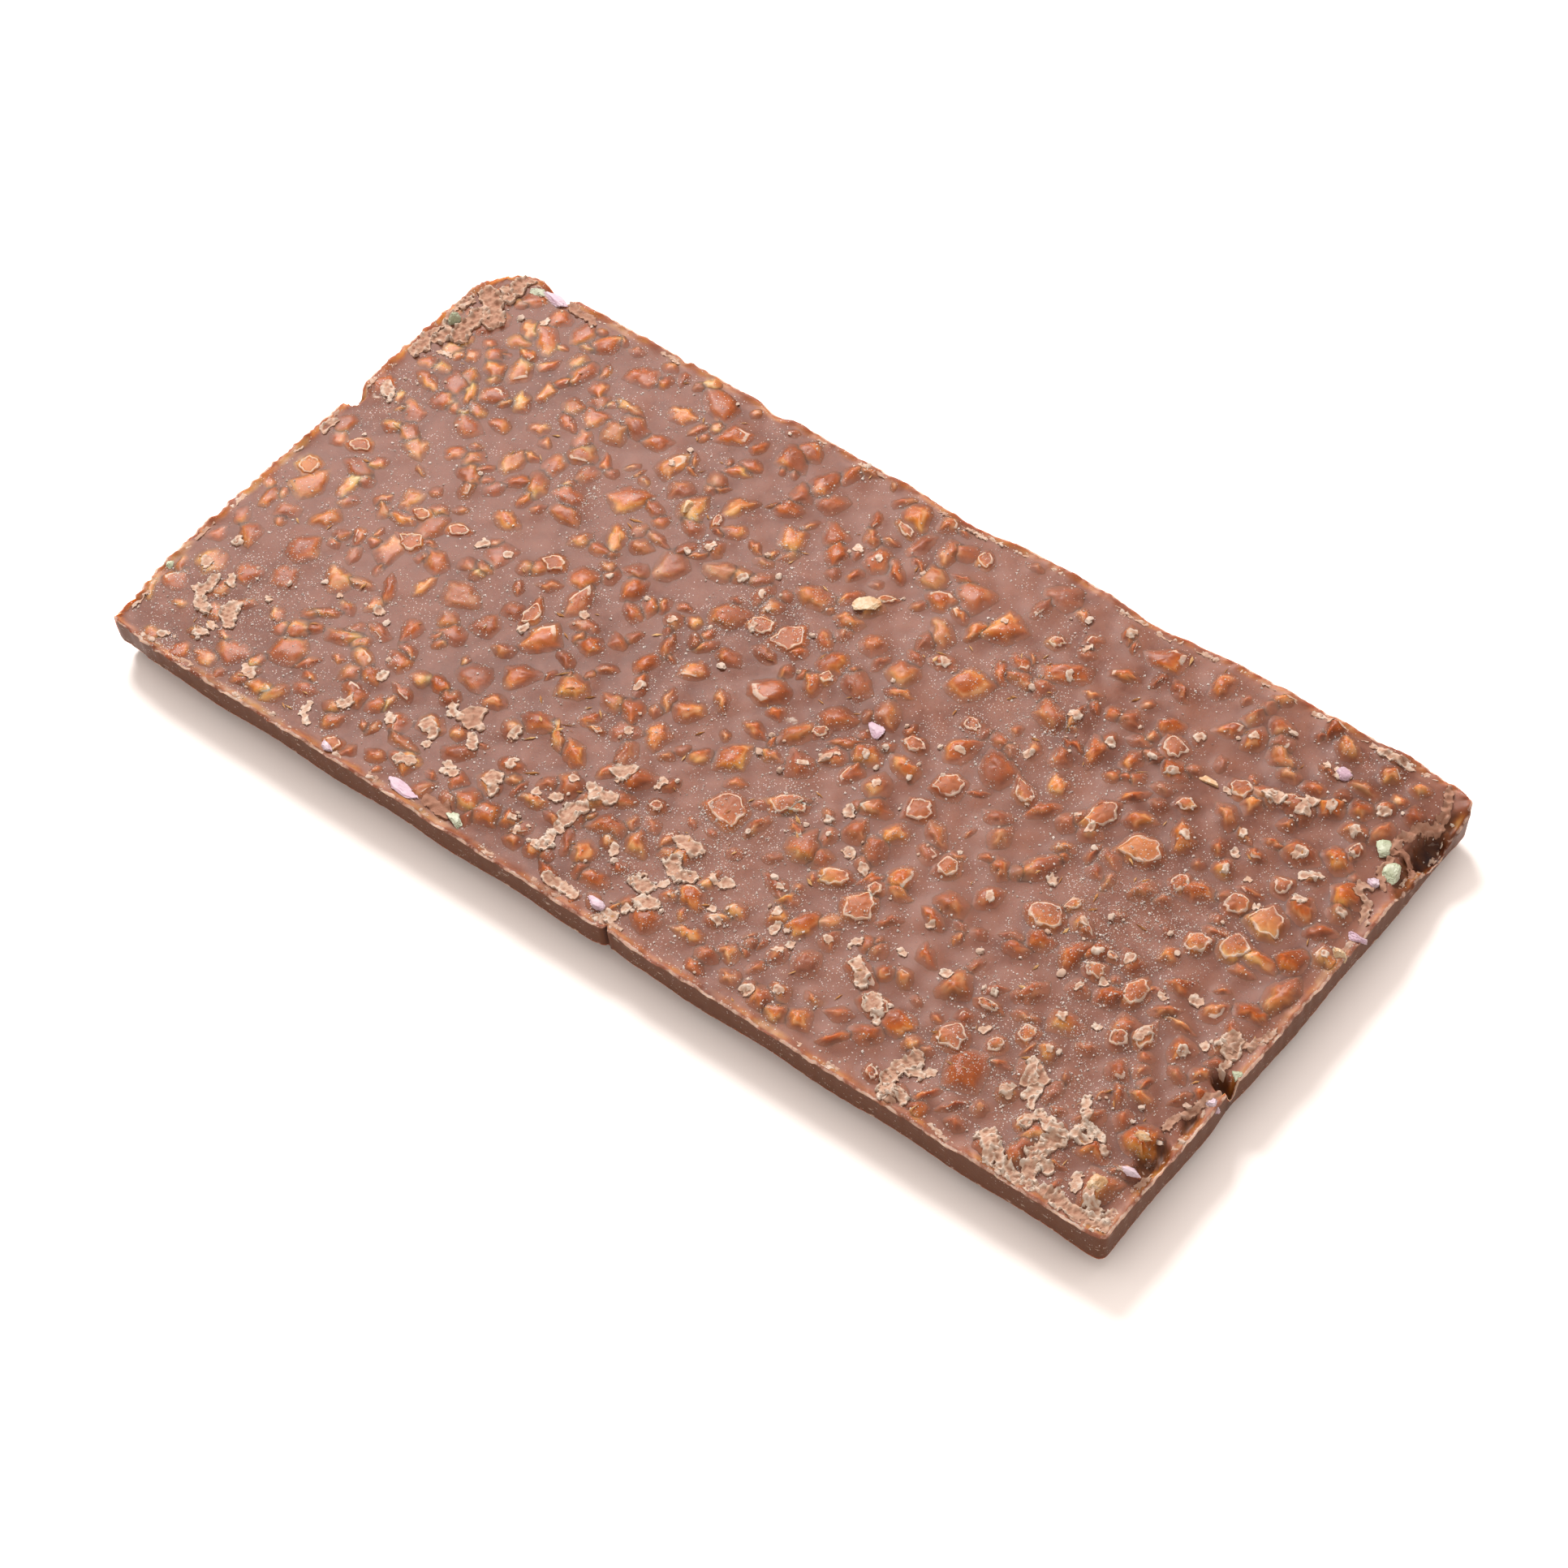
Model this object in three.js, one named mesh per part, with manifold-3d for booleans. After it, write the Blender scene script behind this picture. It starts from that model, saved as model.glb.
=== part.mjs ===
// A tablet of milk chocolate with chopped nuts, poured face up and mould side down.
// Millimetres, +Z up. +X runs along the tablet, and the origin lies under its middle.
import * as THREE from "three";
import { mergeVertices } from "three/addons/utils/BufferGeometryUtils.js";
import Module from "manifold-3d";

// The plate.
const tabletLength = 160;
const tabletWidth = 80.3;
const faceHeight = 7.4; // the poured face above the table
const footHeight = 3.0; // the foot of the wall, where a groove meets it
const footArch = 0.6; // the foot rises this much more beside the middle of a block
const footSlope = 0.35; // and is this much lower at the right end, higher at the left
const wallDraft = 0.3;
const rimRise = 0.3; // the rim stands this far above the face
const rimCrest = 0.35; // insets, from the outline, of the rim's crest and of its inner foot
const rimWidth = 1.1;
const rimWave = { slow: 0.1, quick: 0.12 }; // how far the rim wanders in and out
const faceStart = 2.6; // inset at which the face proper begins
const underStart = 3.6; // inset at which the flat underside begins
const faceRings = [0.86, 0.6, 0.3]; // the face's rings, as shares of the outline
const sideStep = 4.9; // between points along the straight sides
const cornerSteps = 3;
const swellHeight = 0.16;
const cornerRadius = { left: 2.2, front: 1.2, right: 3.6, back: 2 };

// The moulded blocks underneath.
const blockPitch = 20;
const blocksAlong = tabletLength / blockPitch;
const blocksAcross = 4;
const blockProfile = [
  [0, 0],
  [6.9, 0],
  [8.0, 0.9],
  [8.4, 3.6],
  [0, 3.6],
]; // half width and height, from the flat a block rests on to inside the plate

// The rim is worn in here: the side, the middle of the wear along it, its span and depth.
const rimWear = [
  ["back", -69, 6, 1.7],
  ["back", -31, 8, 0.8],
  ["back", -12, 34, 0.4],
  ["back", 2, 22, 1.1],
  ["back", 32, 22, 0.9],
  ["back", 62, 34, 0.3],
  ["back", 76, 12, 0.6],
  ["left", -37, 18, 1.3],
  ["front", -77, 12, 0.6],
  ["front", 6, 7, 0.3],
  ["right", -14, 9, 0.3],
];

// Chips and hollows, each an ellipsoid: x, y, z of its middle and its three radii.
const chips = [
  [-80.7, 9, 8.4, 2.8, 2.5, 4.2], // notch in the left edge
  [82, 29, 9.7, 6.6, 11, 4.7], // the right corner, broken off along a ridge
  [78.9, 29.8, 6.0, 1.9, 3.2, 2.0], // deep hollow in that break
  [78.7, -13.6, 7.6, 2.1, 1.2, 3.0], // narrow cavity in the right rim
  [78.2, -27.4, 8.2, 1.8, 3.4, 1.9],
  [78.6, -20.6, 8.4, 1.5, 2.6, 1.8],
  [5.2, -40.5, 5.2, 0.4, 0.8, 2.9], // crack down the front wall
];
const bigChip = 5; // a chip that reaches further than this gets more faces

// Straight breaks through the back left corner: x and y of the middle, and the turn in degrees.
const cornerBreaks = [
  [-79.4, 35.4, 62],
  [-76.4, 39.2, 40],
];
const breakLength = 16;
const breakDepth = 4;

// Chopped nuts. The largest few are placed by hand: x, y, length, width and turn in degrees.
const largeNuts = [
  [-50, 34.5, 5.2, 3.7, 15],
  [-33, 33, 4.8, 3.6, 40],
  [-57, 29.8, 4.8, 3.2, 70],
  [-18, 33, 5.4, 4.8, 110],
  [-29.5, 19.5, 4.6, 4.0, 100],
  [-0.1, 19.8, 4.2, 3.5, 70],
  [-14, 8, 6.2, 4.8, 15],
  [-33.5, 2, 5, 4.2, 150],
  [-36.5, 24, 5, 4.2, 80],
  [18, 17, 5.4, 4.6, 60],
  [27.5, 26, 7.4, 4.0, 35],
  [29.5, 8, 6.6, 4.4, 160],
  [54, 13, 4.8, 4.0, 150],
  [75, 5, 5.2, 4.2, 120],
  [77, 0.2, 6.6, 3.4, 75],
  [69.5, 8.5, 5, 4.6, 20],
  [68.5, 3, 4.6, 3.6, 100],
  [64.5, 1, 3.6, 3.4, 0],
  [47.5, -6.5, 5.4, 4.4, 170],
  [51, 8.5, 5.8, 4.6, 20],
  [44, 10, 5.6, 3.4, 80],
  [26, 2.5, 4.2, 4.0, 60],
  [24.5, -10.5, 4.6, 3.4, 100],
  [24.5, -24.5, 6.4, 3.2, 70],
  [53, -30.5, 6.2, 5.2, 100],
  [49, -27.5, 4.4, 3.4, 10],
  [6, -16.5, 5.8, 5.0, 140],
  [28.5, -19, 5.2, 3.8, 75],
  [-66.5, -15.5, 5, 3.8, 50],
  [-22, -13, 5.4, 5.0, 30],
  [-8, -7.5, 5.2, 3.8, 30],
  [-5, 9.5, 4.6, 4.2, 120],
  [75.5, -25.7, 5.4, 4.8, 60],
  [75.5, -34.7, 5, 4.4, 26],
  [-56, -30, 5.2, 4.2, 60],
  [34.5, -26.5, 5.4, 3.8, 150],
];
const nutSeed = 41;
const nutCount = 156; // with the ones placed by hand
const nutLength = { from: 5.8, to: 3.9 }; // the drawn ones shrink from the first to the last
const nutMargin = 3.2;
const nutSpacing = 0.56; // of the two lengths added up
const chipMargin = 1.3; // nuts keep this many radii away from the middle of a chip
const nutRise = { left: 0.5, right: 1.05 }; // how far nuts stand out at the two ends
const largeShare = 0.8; // how much of that range the large ones take
const bitSunk = 0.3; // the middle of a bit lies this far under the face
const bitRoughness = 0.16;

// Dry crusts and lumps on the face: x, y, length, width, turn in degrees and height.
const crusts = [
  [-78.2, 22, 4.6, 3.4, 70, 0.9],
  [-77.6, 26.5, 5.4, 4.4, 60, 1.1],
  [-76.4, 31, 5.6, 4.2, 70, 1.1],
  [-75.6, 35.6, 4.8, 4, 90, 0.9],
  [-72.6, -27.5, 3.2, 2.6, 20, 0.9],
  [-70.8, -30.2, 3.6, 2.6, 100, 0.8],
  [-66.6, -29.7, 4, 2.6, 80, 0.9],
  [-29.6, -24.6, 4.6, 3.4, 130, 0.7],
  [-32.4, -28.2, 5, 2.4, 20, 0.7],
  [-8.6, -20.4, 4.8, 2.8, 50, 0.8],
  [-9.4, -28.8, 4.6, 3.2, 40, 0.9],
  [5.8, -24.4, 4, 2.8, 120, 0.9],
  [8.2, -27.6, 4.2, 2.8, 10, 0.9],
  [5, -32.6, 4.4, 2.8, 150, 0.9],
  [46.2, -34, 4.8, 3, 70, 1.1],
  [47.8, -37.8, 3.8, 3.2, 20, 1.0],
  [60.6, -26.6, 4.4, 3, 120, 0.8],
  [62.2, -37.2, 4.4, 3, 60, 1.0],
  [66.4, -38, 5, 2.8, 0, 1.0],
  [67.2, -34.6, 5, 2.6, 80, 1.0],
  [65, -31.4, 4.4, 2.6, 20, 0.9],
  [69.4, -30.2, 4.8, 2.8, 50, 0.9],
  [68.2, -26.4, 3.8, 2, 90, 0.8],
  [72.6, -38.4, 4.2, 3, 0, 1.0],
  [76.4, -38.2, 4.4, 3.2, 150, 1.0],
  [76, -9.4, 5.2, 3, 60, 1.0],
  [-79, 3.6, 3.6, 2.4, 80, 0.7],
  [-25.4, -39.3, 6.4, 1.9, 172, 0.5], // bulge of the front rim
];

// Broken bits of coloured candy, most of them at the rim, measured like the crusts.
const candyBits = [
  [-71.7, 38, 2.6, 1.6, 0, 0.5],
  [-68.6, 38.4, 4.0, 1.5, 170, 0.5],
  [-20.4, -37.9, 3.8, 2.0, 160, 0.5],
  [-28.9, -38.5, 4.8, 1.8, 175, 0.5],
  [-41.2, -39, 2.8, 1.4, 160, 0.4],
  [74.3, 26.7, 3, 2.8, 100, 0.7],
  [13, 4.2, 2.6, 2.2, 40, 0.5],
];

const chocolateColour = 0x8d6457;
const degree = Math.PI / 180;

const wasm = await Module();
wasm.setup();

// Evenly spread numbers from 0 to 1, the same on each run.
function makeRandom(seed) {
  let state = seed;
  return () => {
    state = (state * 1664525 + 1013904223) % 4294967296;
    return state / 4294967296;
  };
}

function clamp01(value) {
  return Math.min(1, Math.max(0, value));
}

// The same shape with one vertex for each place.
function mergedPoints(geometry) {
  geometry.deleteAttribute("normal");
  geometry.deleteAttribute("uv");
  return mergeVertices(geometry, 1e-4);
}

// A closed mesh as a solid, without the triangles that have no area.
function toSolid(geometry) {
  const merged = mergedPoints(geometry);
  const corners = merged.index.array;
  const kept = [];
  for (let i = 0; i < corners.length; i += 3) {
    const [a, b, c] = corners.slice(i, i + 3);
    if (a !== b && b !== c && c !== a) kept.push(a, b, c);
  }
  const mesh = new wasm.Mesh({
    numProp: 3,
    vertProperties: merged.attributes.position.array,
    triVerts: new Uint32Array(kept),
  });
  return new wasm.Manifold(mesh);
}

function toGeometry(solid) {
  const mesh = solid.getMesh();
  const geometry = new THREE.BufferGeometry();
  geometry.setAttribute("position", new THREE.BufferAttribute(mesh.vertProperties, mesh.numProp));
  geometry.setIndex(new THREE.BufferAttribute(mesh.triVerts, 1));
  geometry.computeVertexNormals();
  return geometry;
}

// The face isn't quite flat: it swells and sinks by a fraction of a millimetre.
function faceAt(x, y) {
  const longWave = Math.sin(x / 19 + 0.8) * Math.cos(y / 14 - 0.5);
  const shortWave = 0.6 * Math.sin((x + 1.7 * y) / 9.5);
  return faceHeight + swellHeight * (longWave + shortWave);
}

// Points round a rectangle with its own radius at each corner, from the front right one on.
function outlinePoints() {
  const corners = [
    [1, -1, cornerRadius.front],
    [1, 1, cornerRadius.right],
    [-1, 1, cornerRadius.back],
    [-1, -1, cornerRadius.left],
  ];
  const points = [];
  corners.forEach(([signX, signY, radius], quarter) => {
    const middle = new THREE.Vector2(
      signX * (tabletLength / 2 - radius),
      signY * (tabletWidth / 2 - radius),
    );
    for (let step = 0; step <= cornerSteps; step++) {
      const angle = (quarter - 1 + step / cornerSteps) * 90 * degree;
      points.push(new THREE.Vector2(radius, 0).rotateAround(new THREE.Vector2(), angle).add(middle));
    }
  });
  return withSidePoints(points);
}

// The same closed outline with points along each of its long straight stretches.
function withSidePoints(points) {
  return points.flatMap((point, i) => {
    const next = points[(i + 1) % points.length];
    const steps = Math.max(1, Math.round(point.distanceTo(next) / sideStep));
    return Array.from({ length: steps }, (_, step) => point.clone().lerp(next, step / steps));
  });
}

function sideOf(normal) {
  if (Math.abs(normal.x) > Math.abs(normal.y)) return normal.x > 0 ? "right" : "left";
  return normal.y > 0 ? "back" : "front";
}

// How far the rim is worn in at a place along one side.
function wearAt(side, along) {
  let depth = 0;
  for (const [wornSide, middle, span, worn] of rimWear) {
    const offset = Math.abs(along - middle) / (span / 2);
    if (wornSide === side && offset < 1) depth += worn * Math.cos((offset * Math.PI) / 2) ** 2;
  }
  return depth;
}

// The outline with the wear, waviness and height of its rim at each point.
function rimStations() {
  const points = outlinePoints();
  return points.map((point, i) => {
    const next = points[(i + 1) % points.length];
    const last = points[(i + points.length - 1) % points.length];
    const side = sideOf(new THREE.Vector2(next.y - last.y, last.x - next.x));
    const along = side === "left" || side === "right" ? point.y : point.x;
    const wave = rimWave.quick * Math.sin(along * 0.9 + i) + rimWave.slow * Math.sin(along * 0.37);
    const beside = 0.5 + 0.5 * Math.cos(((along % blockPitch) / blockPitch) * 2 * Math.PI);
    return {
      point,
      inset: wearAt(side, along) + wave,
      foot: footHeight + footArch * (1 - beside) - footSlope * (point.x / (tabletLength / 2)),
      rise: rimRise * (1 + 0.5 * Math.sin(along * 0.71 + 2) + 0.3 * Math.sin(along * 1.9)),
    };
  });
}

// A ring of points round the plate, drawn in from the outline and at a height of its own.
// Drawing in towards both middle lines keeps its corners from crossing over.
function insetRing(stations, insetOf, heightOf) {
  return stations.map((station) => {
    const inset = insetOf(station);
    const x = station.point.x * (1 - inset / (tabletLength / 2));
    const y = station.point.y * (1 - inset / (tabletWidth / 2));
    return new THREE.Vector3(x, y, heightOf(station, x, y));
  });
}

// A ring of the face: the outline shrunk towards the middle.
function faceRing(stations, share) {
  return stations.map(({ point }) => {
    const x = point.x * share;
    const y = point.y * share;
    return new THREE.Vector3(x, y, faceAt(x, y));
  });
}

// A closed skin over rings that run from under the plate, up the wall and in over the face.
function loftRings(rings, bottom, top) {
  const count = rings[0].length;
  const points = [...rings.flat(), bottom, top];
  const bottomIndex = rings.length * count;
  const topIndex = bottomIndex + 1;
  const lastRing = (rings.length - 1) * count;
  const index = [];
  for (let i = 0; i < count; i++) {
    const next = (i + 1) % count;
    index.push(bottomIndex, next, i);
    for (let low = 0; low < lastRing; low += count) {
      const high = low + count;
      index.push(low + i, low + next, high + next);
      index.push(low + i, high + next, high + i);
    }
    index.push(lastRing + i, lastRing + next, topIndex);
  }
  const geometry = new THREE.BufferGeometry().setFromPoints(points);
  geometry.setIndex(index);
  return geometry;
}

function plateSolid() {
  const stations = rimStations();
  const rings = [
    insetRing(stations, () => underStart, () => footHeight),
    insetRing(stations, (s) => wallDraft + 0.5 * s.inset, (s) => s.foot),
    insetRing(stations, (s) => s.inset, (s) => faceHeight + 0.5 * s.rise),
    insetRing(stations, (s) => s.inset + rimCrest, (s) => faceHeight + s.rise),
    insetRing(stations, (s) => s.inset + rimWidth, (s) => faceHeight + 0.4 * s.rise),
    insetRing(stations, (s) => s.inset + faceStart, (s, x, y) => faceAt(x, y)),
    ...faceRings.map((share) => faceRing(stations, share)),
  ];
  const bottom = new THREE.Vector3(0, 0, footHeight);
  const top = new THREE.Vector3(0, 0, faceAt(0, 0));
  return toSolid(loftRings(rings, bottom, top));
}

// One pillow of the mould, square in plan, with its flat end on the table.
function blockSolid(x, y) {
  const diagonal = Math.SQRT2; // a lathe's radius reaches the corners of its square
  const profile = blockProfile.map(([half, height]) => new THREE.Vector2(half * diagonal, height));
  const geometry = new THREE.LatheGeometry(profile, 4, 45 * degree);
  geometry.rotateX(90 * degree);
  geometry.translate(x, y, 0);
  return toSolid(geometry);
}

function blockSolids() {
  const solids = [];
  const acrossPitch = tabletWidth / blocksAcross;
  for (let i = 0; i < blocksAlong; i++) {
    for (let j = 0; j < blocksAcross; j++) {
      const x = (i - (blocksAlong - 1) / 2) * blockPitch;
      const y = (j - (blocksAcross - 1) / 2) * acrossPitch;
      solids.push(blockSolid(x, y));
    }
  }
  return solids;
}

function ellipsoidSolid([x, y, z, radiusX, radiusY, radiusZ]) {
  const detail = radiusY > bigChip ? 2 : 1;
  const geometry = new THREE.IcosahedronGeometry(1, detail);
  geometry.scale(radiusX, radiusY, radiusZ);
  geometry.translate(x, y, z);
  return toSolid(geometry);
}

function cornerBreakSolid([x, y, turn]) {
  const geometry = new THREE.BoxGeometry(breakLength, breakDepth, 4 * faceHeight);
  geometry.translate(0, breakDepth / 2, 0);
  geometry.rotateZ(turn * degree);
  geometry.translate(x, y, faceHeight);
  return toSolid(geometry);
}

// A small angular bit: a twenty-sided ball with its corners pushed about, then stretched.
function bitSolid(bit, random) {
  const geometry = mergedPoints(new THREE.IcosahedronGeometry(1, 0));
  const place = geometry.attributes.position;
  for (let i = 0; i < place.count; i++) {
    const push = 1 + bitRoughness * (2 * random() - 1);
    place.setXYZ(i, place.getX(i) * push, place.getY(i) * push, place.getZ(i) * push);
  }
  geometry.scale(bit.length / 2, bit.width / 2, bitSunk + bit.rise);
  geometry.rotateZ(bit.turn);
  geometry.translate(bit.x, bit.y, faceAt(bit.x, bit.y) - bitSunk);
  return toSolid(geometry);
}

// Nuts lie flatter at the left end, and stand out more towards the right.
function riseAt(x, share) {
  const along = clamp01(x / tabletLength + 0.5);
  return THREE.MathUtils.lerp(nutRise.left, nutRise.right, along) * (0.7 + 0.6 * share);
}

function bitFrom([x, y, length, width, turn, rise]) {
  return { x, y, length, width, turn: turn * degree, rise };
}

function isOnChip(x, y) {
  return chips.some(([chipX, chipY, , radiusX, radiusY]) => {
    return Math.hypot((x - chipX) / radiusX, (y - chipY) / radiusY) < chipMargin;
  });
}

// The large nuts, then drawn ones that keep clear of those already there, largest first.
function scatterNuts(random) {
  const nuts = largeNuts.map((row) => bitFrom([...row, riseAt(row[0], largeShare)]));
  while (nuts.length < nutCount) {
    const x = (random() - 0.5) * (tabletLength - 2 * nutMargin);
    const y = (random() - 0.5) * (tabletWidth - 2 * nutMargin);
    const length = THREE.MathUtils.lerp(nutLength.from, nutLength.to, nuts.length / nutCount);
    const width = length * (0.55 + 0.35 * random());
    const turn = Math.PI * random();
    const share = random();
    const clear = nuts.every(
      (other) => Math.hypot(other.x - x, other.y - y) > nutSpacing * (other.length + length),
    );
    if (!clear || isOnChip(x, y)) continue;
    nuts.push({ x, y, length, width, turn, rise: riseAt(x, share) });
  }
  return nuts;
}

function chocolateMaterial() {
  return new THREE.MeshStandardMaterial({
    color: chocolateColour,
    roughness: 0.5,
    metalness: 0,
  });
}

// The tablet is one piece: plate and blocks joined, chipped, then with all its bits fused on.
function slabMesh() {
  const random = makeRandom(nutSeed);
  let solid = plateSolid();
  for (const block of blockSolids()) solid = solid.add(block);
  for (const chip of chips) solid = solid.subtract(ellipsoidSolid(chip));
  for (const cut of cornerBreaks) solid = solid.subtract(cornerBreakSolid(cut));
  const bits = [...scatterNuts(random), ...crusts.map(bitFrom), ...candyBits.map(bitFrom)];
  for (const bit of bits) solid = solid.add(bitSolid(bit, random));
  const mesh = new THREE.Mesh(toGeometry(solid), chocolateMaterial());
  mesh.name = "slab";
  return mesh;
}

const tablet = new THREE.Group();
tablet.add(slabMesh());

export default tablet;
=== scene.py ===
import math

import bpy
import numpy as np
from mathutils import Matrix, Vector


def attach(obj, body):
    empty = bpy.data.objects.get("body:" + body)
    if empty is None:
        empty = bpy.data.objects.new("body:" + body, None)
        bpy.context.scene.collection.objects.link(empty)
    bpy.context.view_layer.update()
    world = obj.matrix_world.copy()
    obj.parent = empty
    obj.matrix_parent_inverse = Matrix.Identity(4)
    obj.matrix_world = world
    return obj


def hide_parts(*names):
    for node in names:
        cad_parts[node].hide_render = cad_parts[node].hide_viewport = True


# A tablet of milk chocolate with chopped nuts. It lies mould side down, its rough poured face up.
# Lengths are in millimetres until a mesh is finished, and in metres from then on.
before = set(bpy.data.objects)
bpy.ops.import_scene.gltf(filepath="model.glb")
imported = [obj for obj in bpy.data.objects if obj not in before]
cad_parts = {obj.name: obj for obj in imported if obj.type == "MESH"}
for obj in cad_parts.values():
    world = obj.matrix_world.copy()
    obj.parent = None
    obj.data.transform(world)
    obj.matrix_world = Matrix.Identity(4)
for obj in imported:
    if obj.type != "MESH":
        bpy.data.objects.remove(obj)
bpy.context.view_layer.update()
bpy.context.scene.view_settings.view_transform = "Standard"
mm = 0.001
fullTurn = 2 * math.pi

tablet = {
    "length": 160, "width": 80.3,
    "faceHeight": 7.4,      # the poured face above the table
    "footHeight": 3.0,      # the foot of the wall, where a groove of the mould meets it
    "footArch": 0.6,        # the foot rises this much more beside a block
    "footSlope": 0.35,      # and is this much lower at the right end
    "wallDraft": 0.3,
    "rimRise": 0.3,
    "swell": 0.16,
    "pitch": 20,            # of the blocks underneath
    "margin": 2.6,          # from the outline to the finely gridded face
    "cells": (0.44, 0.4),   # of that grid, along and across
    "finerRight": 0.2,      # its cells are this share longer at the left and shorter at the right
}
cornerRadius = {"left": 2.2, "front": 1.2, "right": 3.6, "back": 2.0}
halfLength, halfWidth = tablet["length"] / 2, tablet["width"] / 2

# The rim is worn in here: the side, the middle of the wear along it, its span and depth.
rimWear = [
    ("back", -69, 6, 1.7), ("back", -47, 3, 0.4), ("back", -31, 8, 0.8), ("back", -12, 34, 0.4),
    ("back", 2, 22, 1.1), ("back", 32, 22, 0.9), ("back", 62, 34, 0.3), ("back", 76, 12, 0.6),
    ("left", -37, 18, 1.3), ("left", -29, 2, 0.5), ("front", -77, 12, 0.6),
    ("front", 6, 7, 0.3), ("front", 5.2, 1.1, 0.7), ("right", -14, 9, 0.3),
]
# Chips and hollows, each an ellipsoid: x, y, z of its middle, and its three radii.
chips = [
    (-80.7, 9, 8.4, 2.8, 2.5, 4.2),
    (82, 29, 9.7, 6.6, 11, 4.7),
    (78.9, 29.8, 6.0, 1.9, 3.2, 2.0),
    (78.7, -13.6, 7.6, 2.1, 1.2, 3.0),
    (78.2, -27.4, 8.2, 1.8, 3.4, 1.9),
    (78.6, -20.6, 8.4, 1.5, 2.6, 1.8),
]
wallCrack = (5.2, -40.5, 5.2, 0.4, 0.8, 2.9)
cornerBreaks = [(-79.4, 35.4, 62), (-76.4, 39.2, 40)]    # a point on each cut, and its turn


def makeDraws(seed):    # the same numbers as the solid draws, so the nuts lie on its bumps
    while True:
        seed = (seed * 1664525 + 1013904223) % 4294967296
        yield seed / 4294967296


def smoothStep(low, high, value):
    share = np.clip((value - low) / (high - low), 0, 1)
    return share * share * (3 - 2 * share)


def blend(first, second, share):
    return first + (second - first) * share


def alongOf(x):    # 0 at the left end of the tablet, 1 at the right
    return x / tablet["length"] + 0.5


def turned(x, y, angle):    # about the middle, angle in radians
    c, s = np.cos(angle), np.sin(angle)
    return x * c - y * s, x * s + y * c


def waves(x, y, size, seed, octaves=3):    # smooth noise, mostly between -1 and 1
    draw = np.random.default_rng(seed)
    total, weight, power = np.zeros_like(x, dtype=float), 1.0, 0.0
    for _ in range(octaves):
        for _ in range(6):
            angle, phase = draw.uniform(0, fullTurn, 2)
            step = fullTurn / size * draw.uniform(0.7, 1.4)
            across = x * math.cos(angle) + y * math.sin(angle)
            total = total + weight * np.sin(across * step + phase)
        power += 3 * weight * weight
        weight, size = weight * 0.6, size * 0.5
    return total / (2 * math.sqrt(power))


# Chopped nuts

nuts = {
    "seed": 41, "solidCount": 156, "solidMargin": 3.2, "solidSpacing": 0.56,
    "solidLength": (5.8, 3.9),     # of the first and of the last one drawn
    "rise": (0.34, 0.9),           # how far they stand out at the left and right end
    "largeShare": 0.8,             # how high the listed large ones are in the spread of heights
    "smallCount": 560, "smallMargin": 1.2, "smallSpacing": 0.34,
    "smallLength": (4.2, 1.25),    # of the first and of the last one drawn
    "wornShare": (0.02, 0.05),     # of these, with a flat dry top, at the left and right end
    "wornFrom": 1.8,               # the shortest that is worn
    "ownTop": 1.6,                 # a listed worn top this far from any nut gets a nut of its own
    "toneSpread": 0.7,
}
nutLooks = {    # at the left and right end
    "hump": (0.3, 0.6),            # a soft rise of the chocolate under each, as a share of its own
    "stand": (0.4, 0.9),           # the share of its height that shows
    "steepness": (0.8, 1.4),       # of its facets
    "toneShift": (0.06, -0.08),
    "film": (0.5, 1.15),           # how much of its colour the film hides, at most
    "skin": (0.42, 0.38),          # how gently the film rises at its edge
    "soft": (0.13, 0.27),          # how round its ridges are
    "glow": (0.9, 0.6),            # how far it shines through around it
    "blur": (0.6, 0.48), "blurStart": (-0.95, 0.0), "blurEnd": (0.5, 1.45),    # where its colour sets in
    "halo": (-0.2, 0.3),           # how much redder it looks there
}
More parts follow.
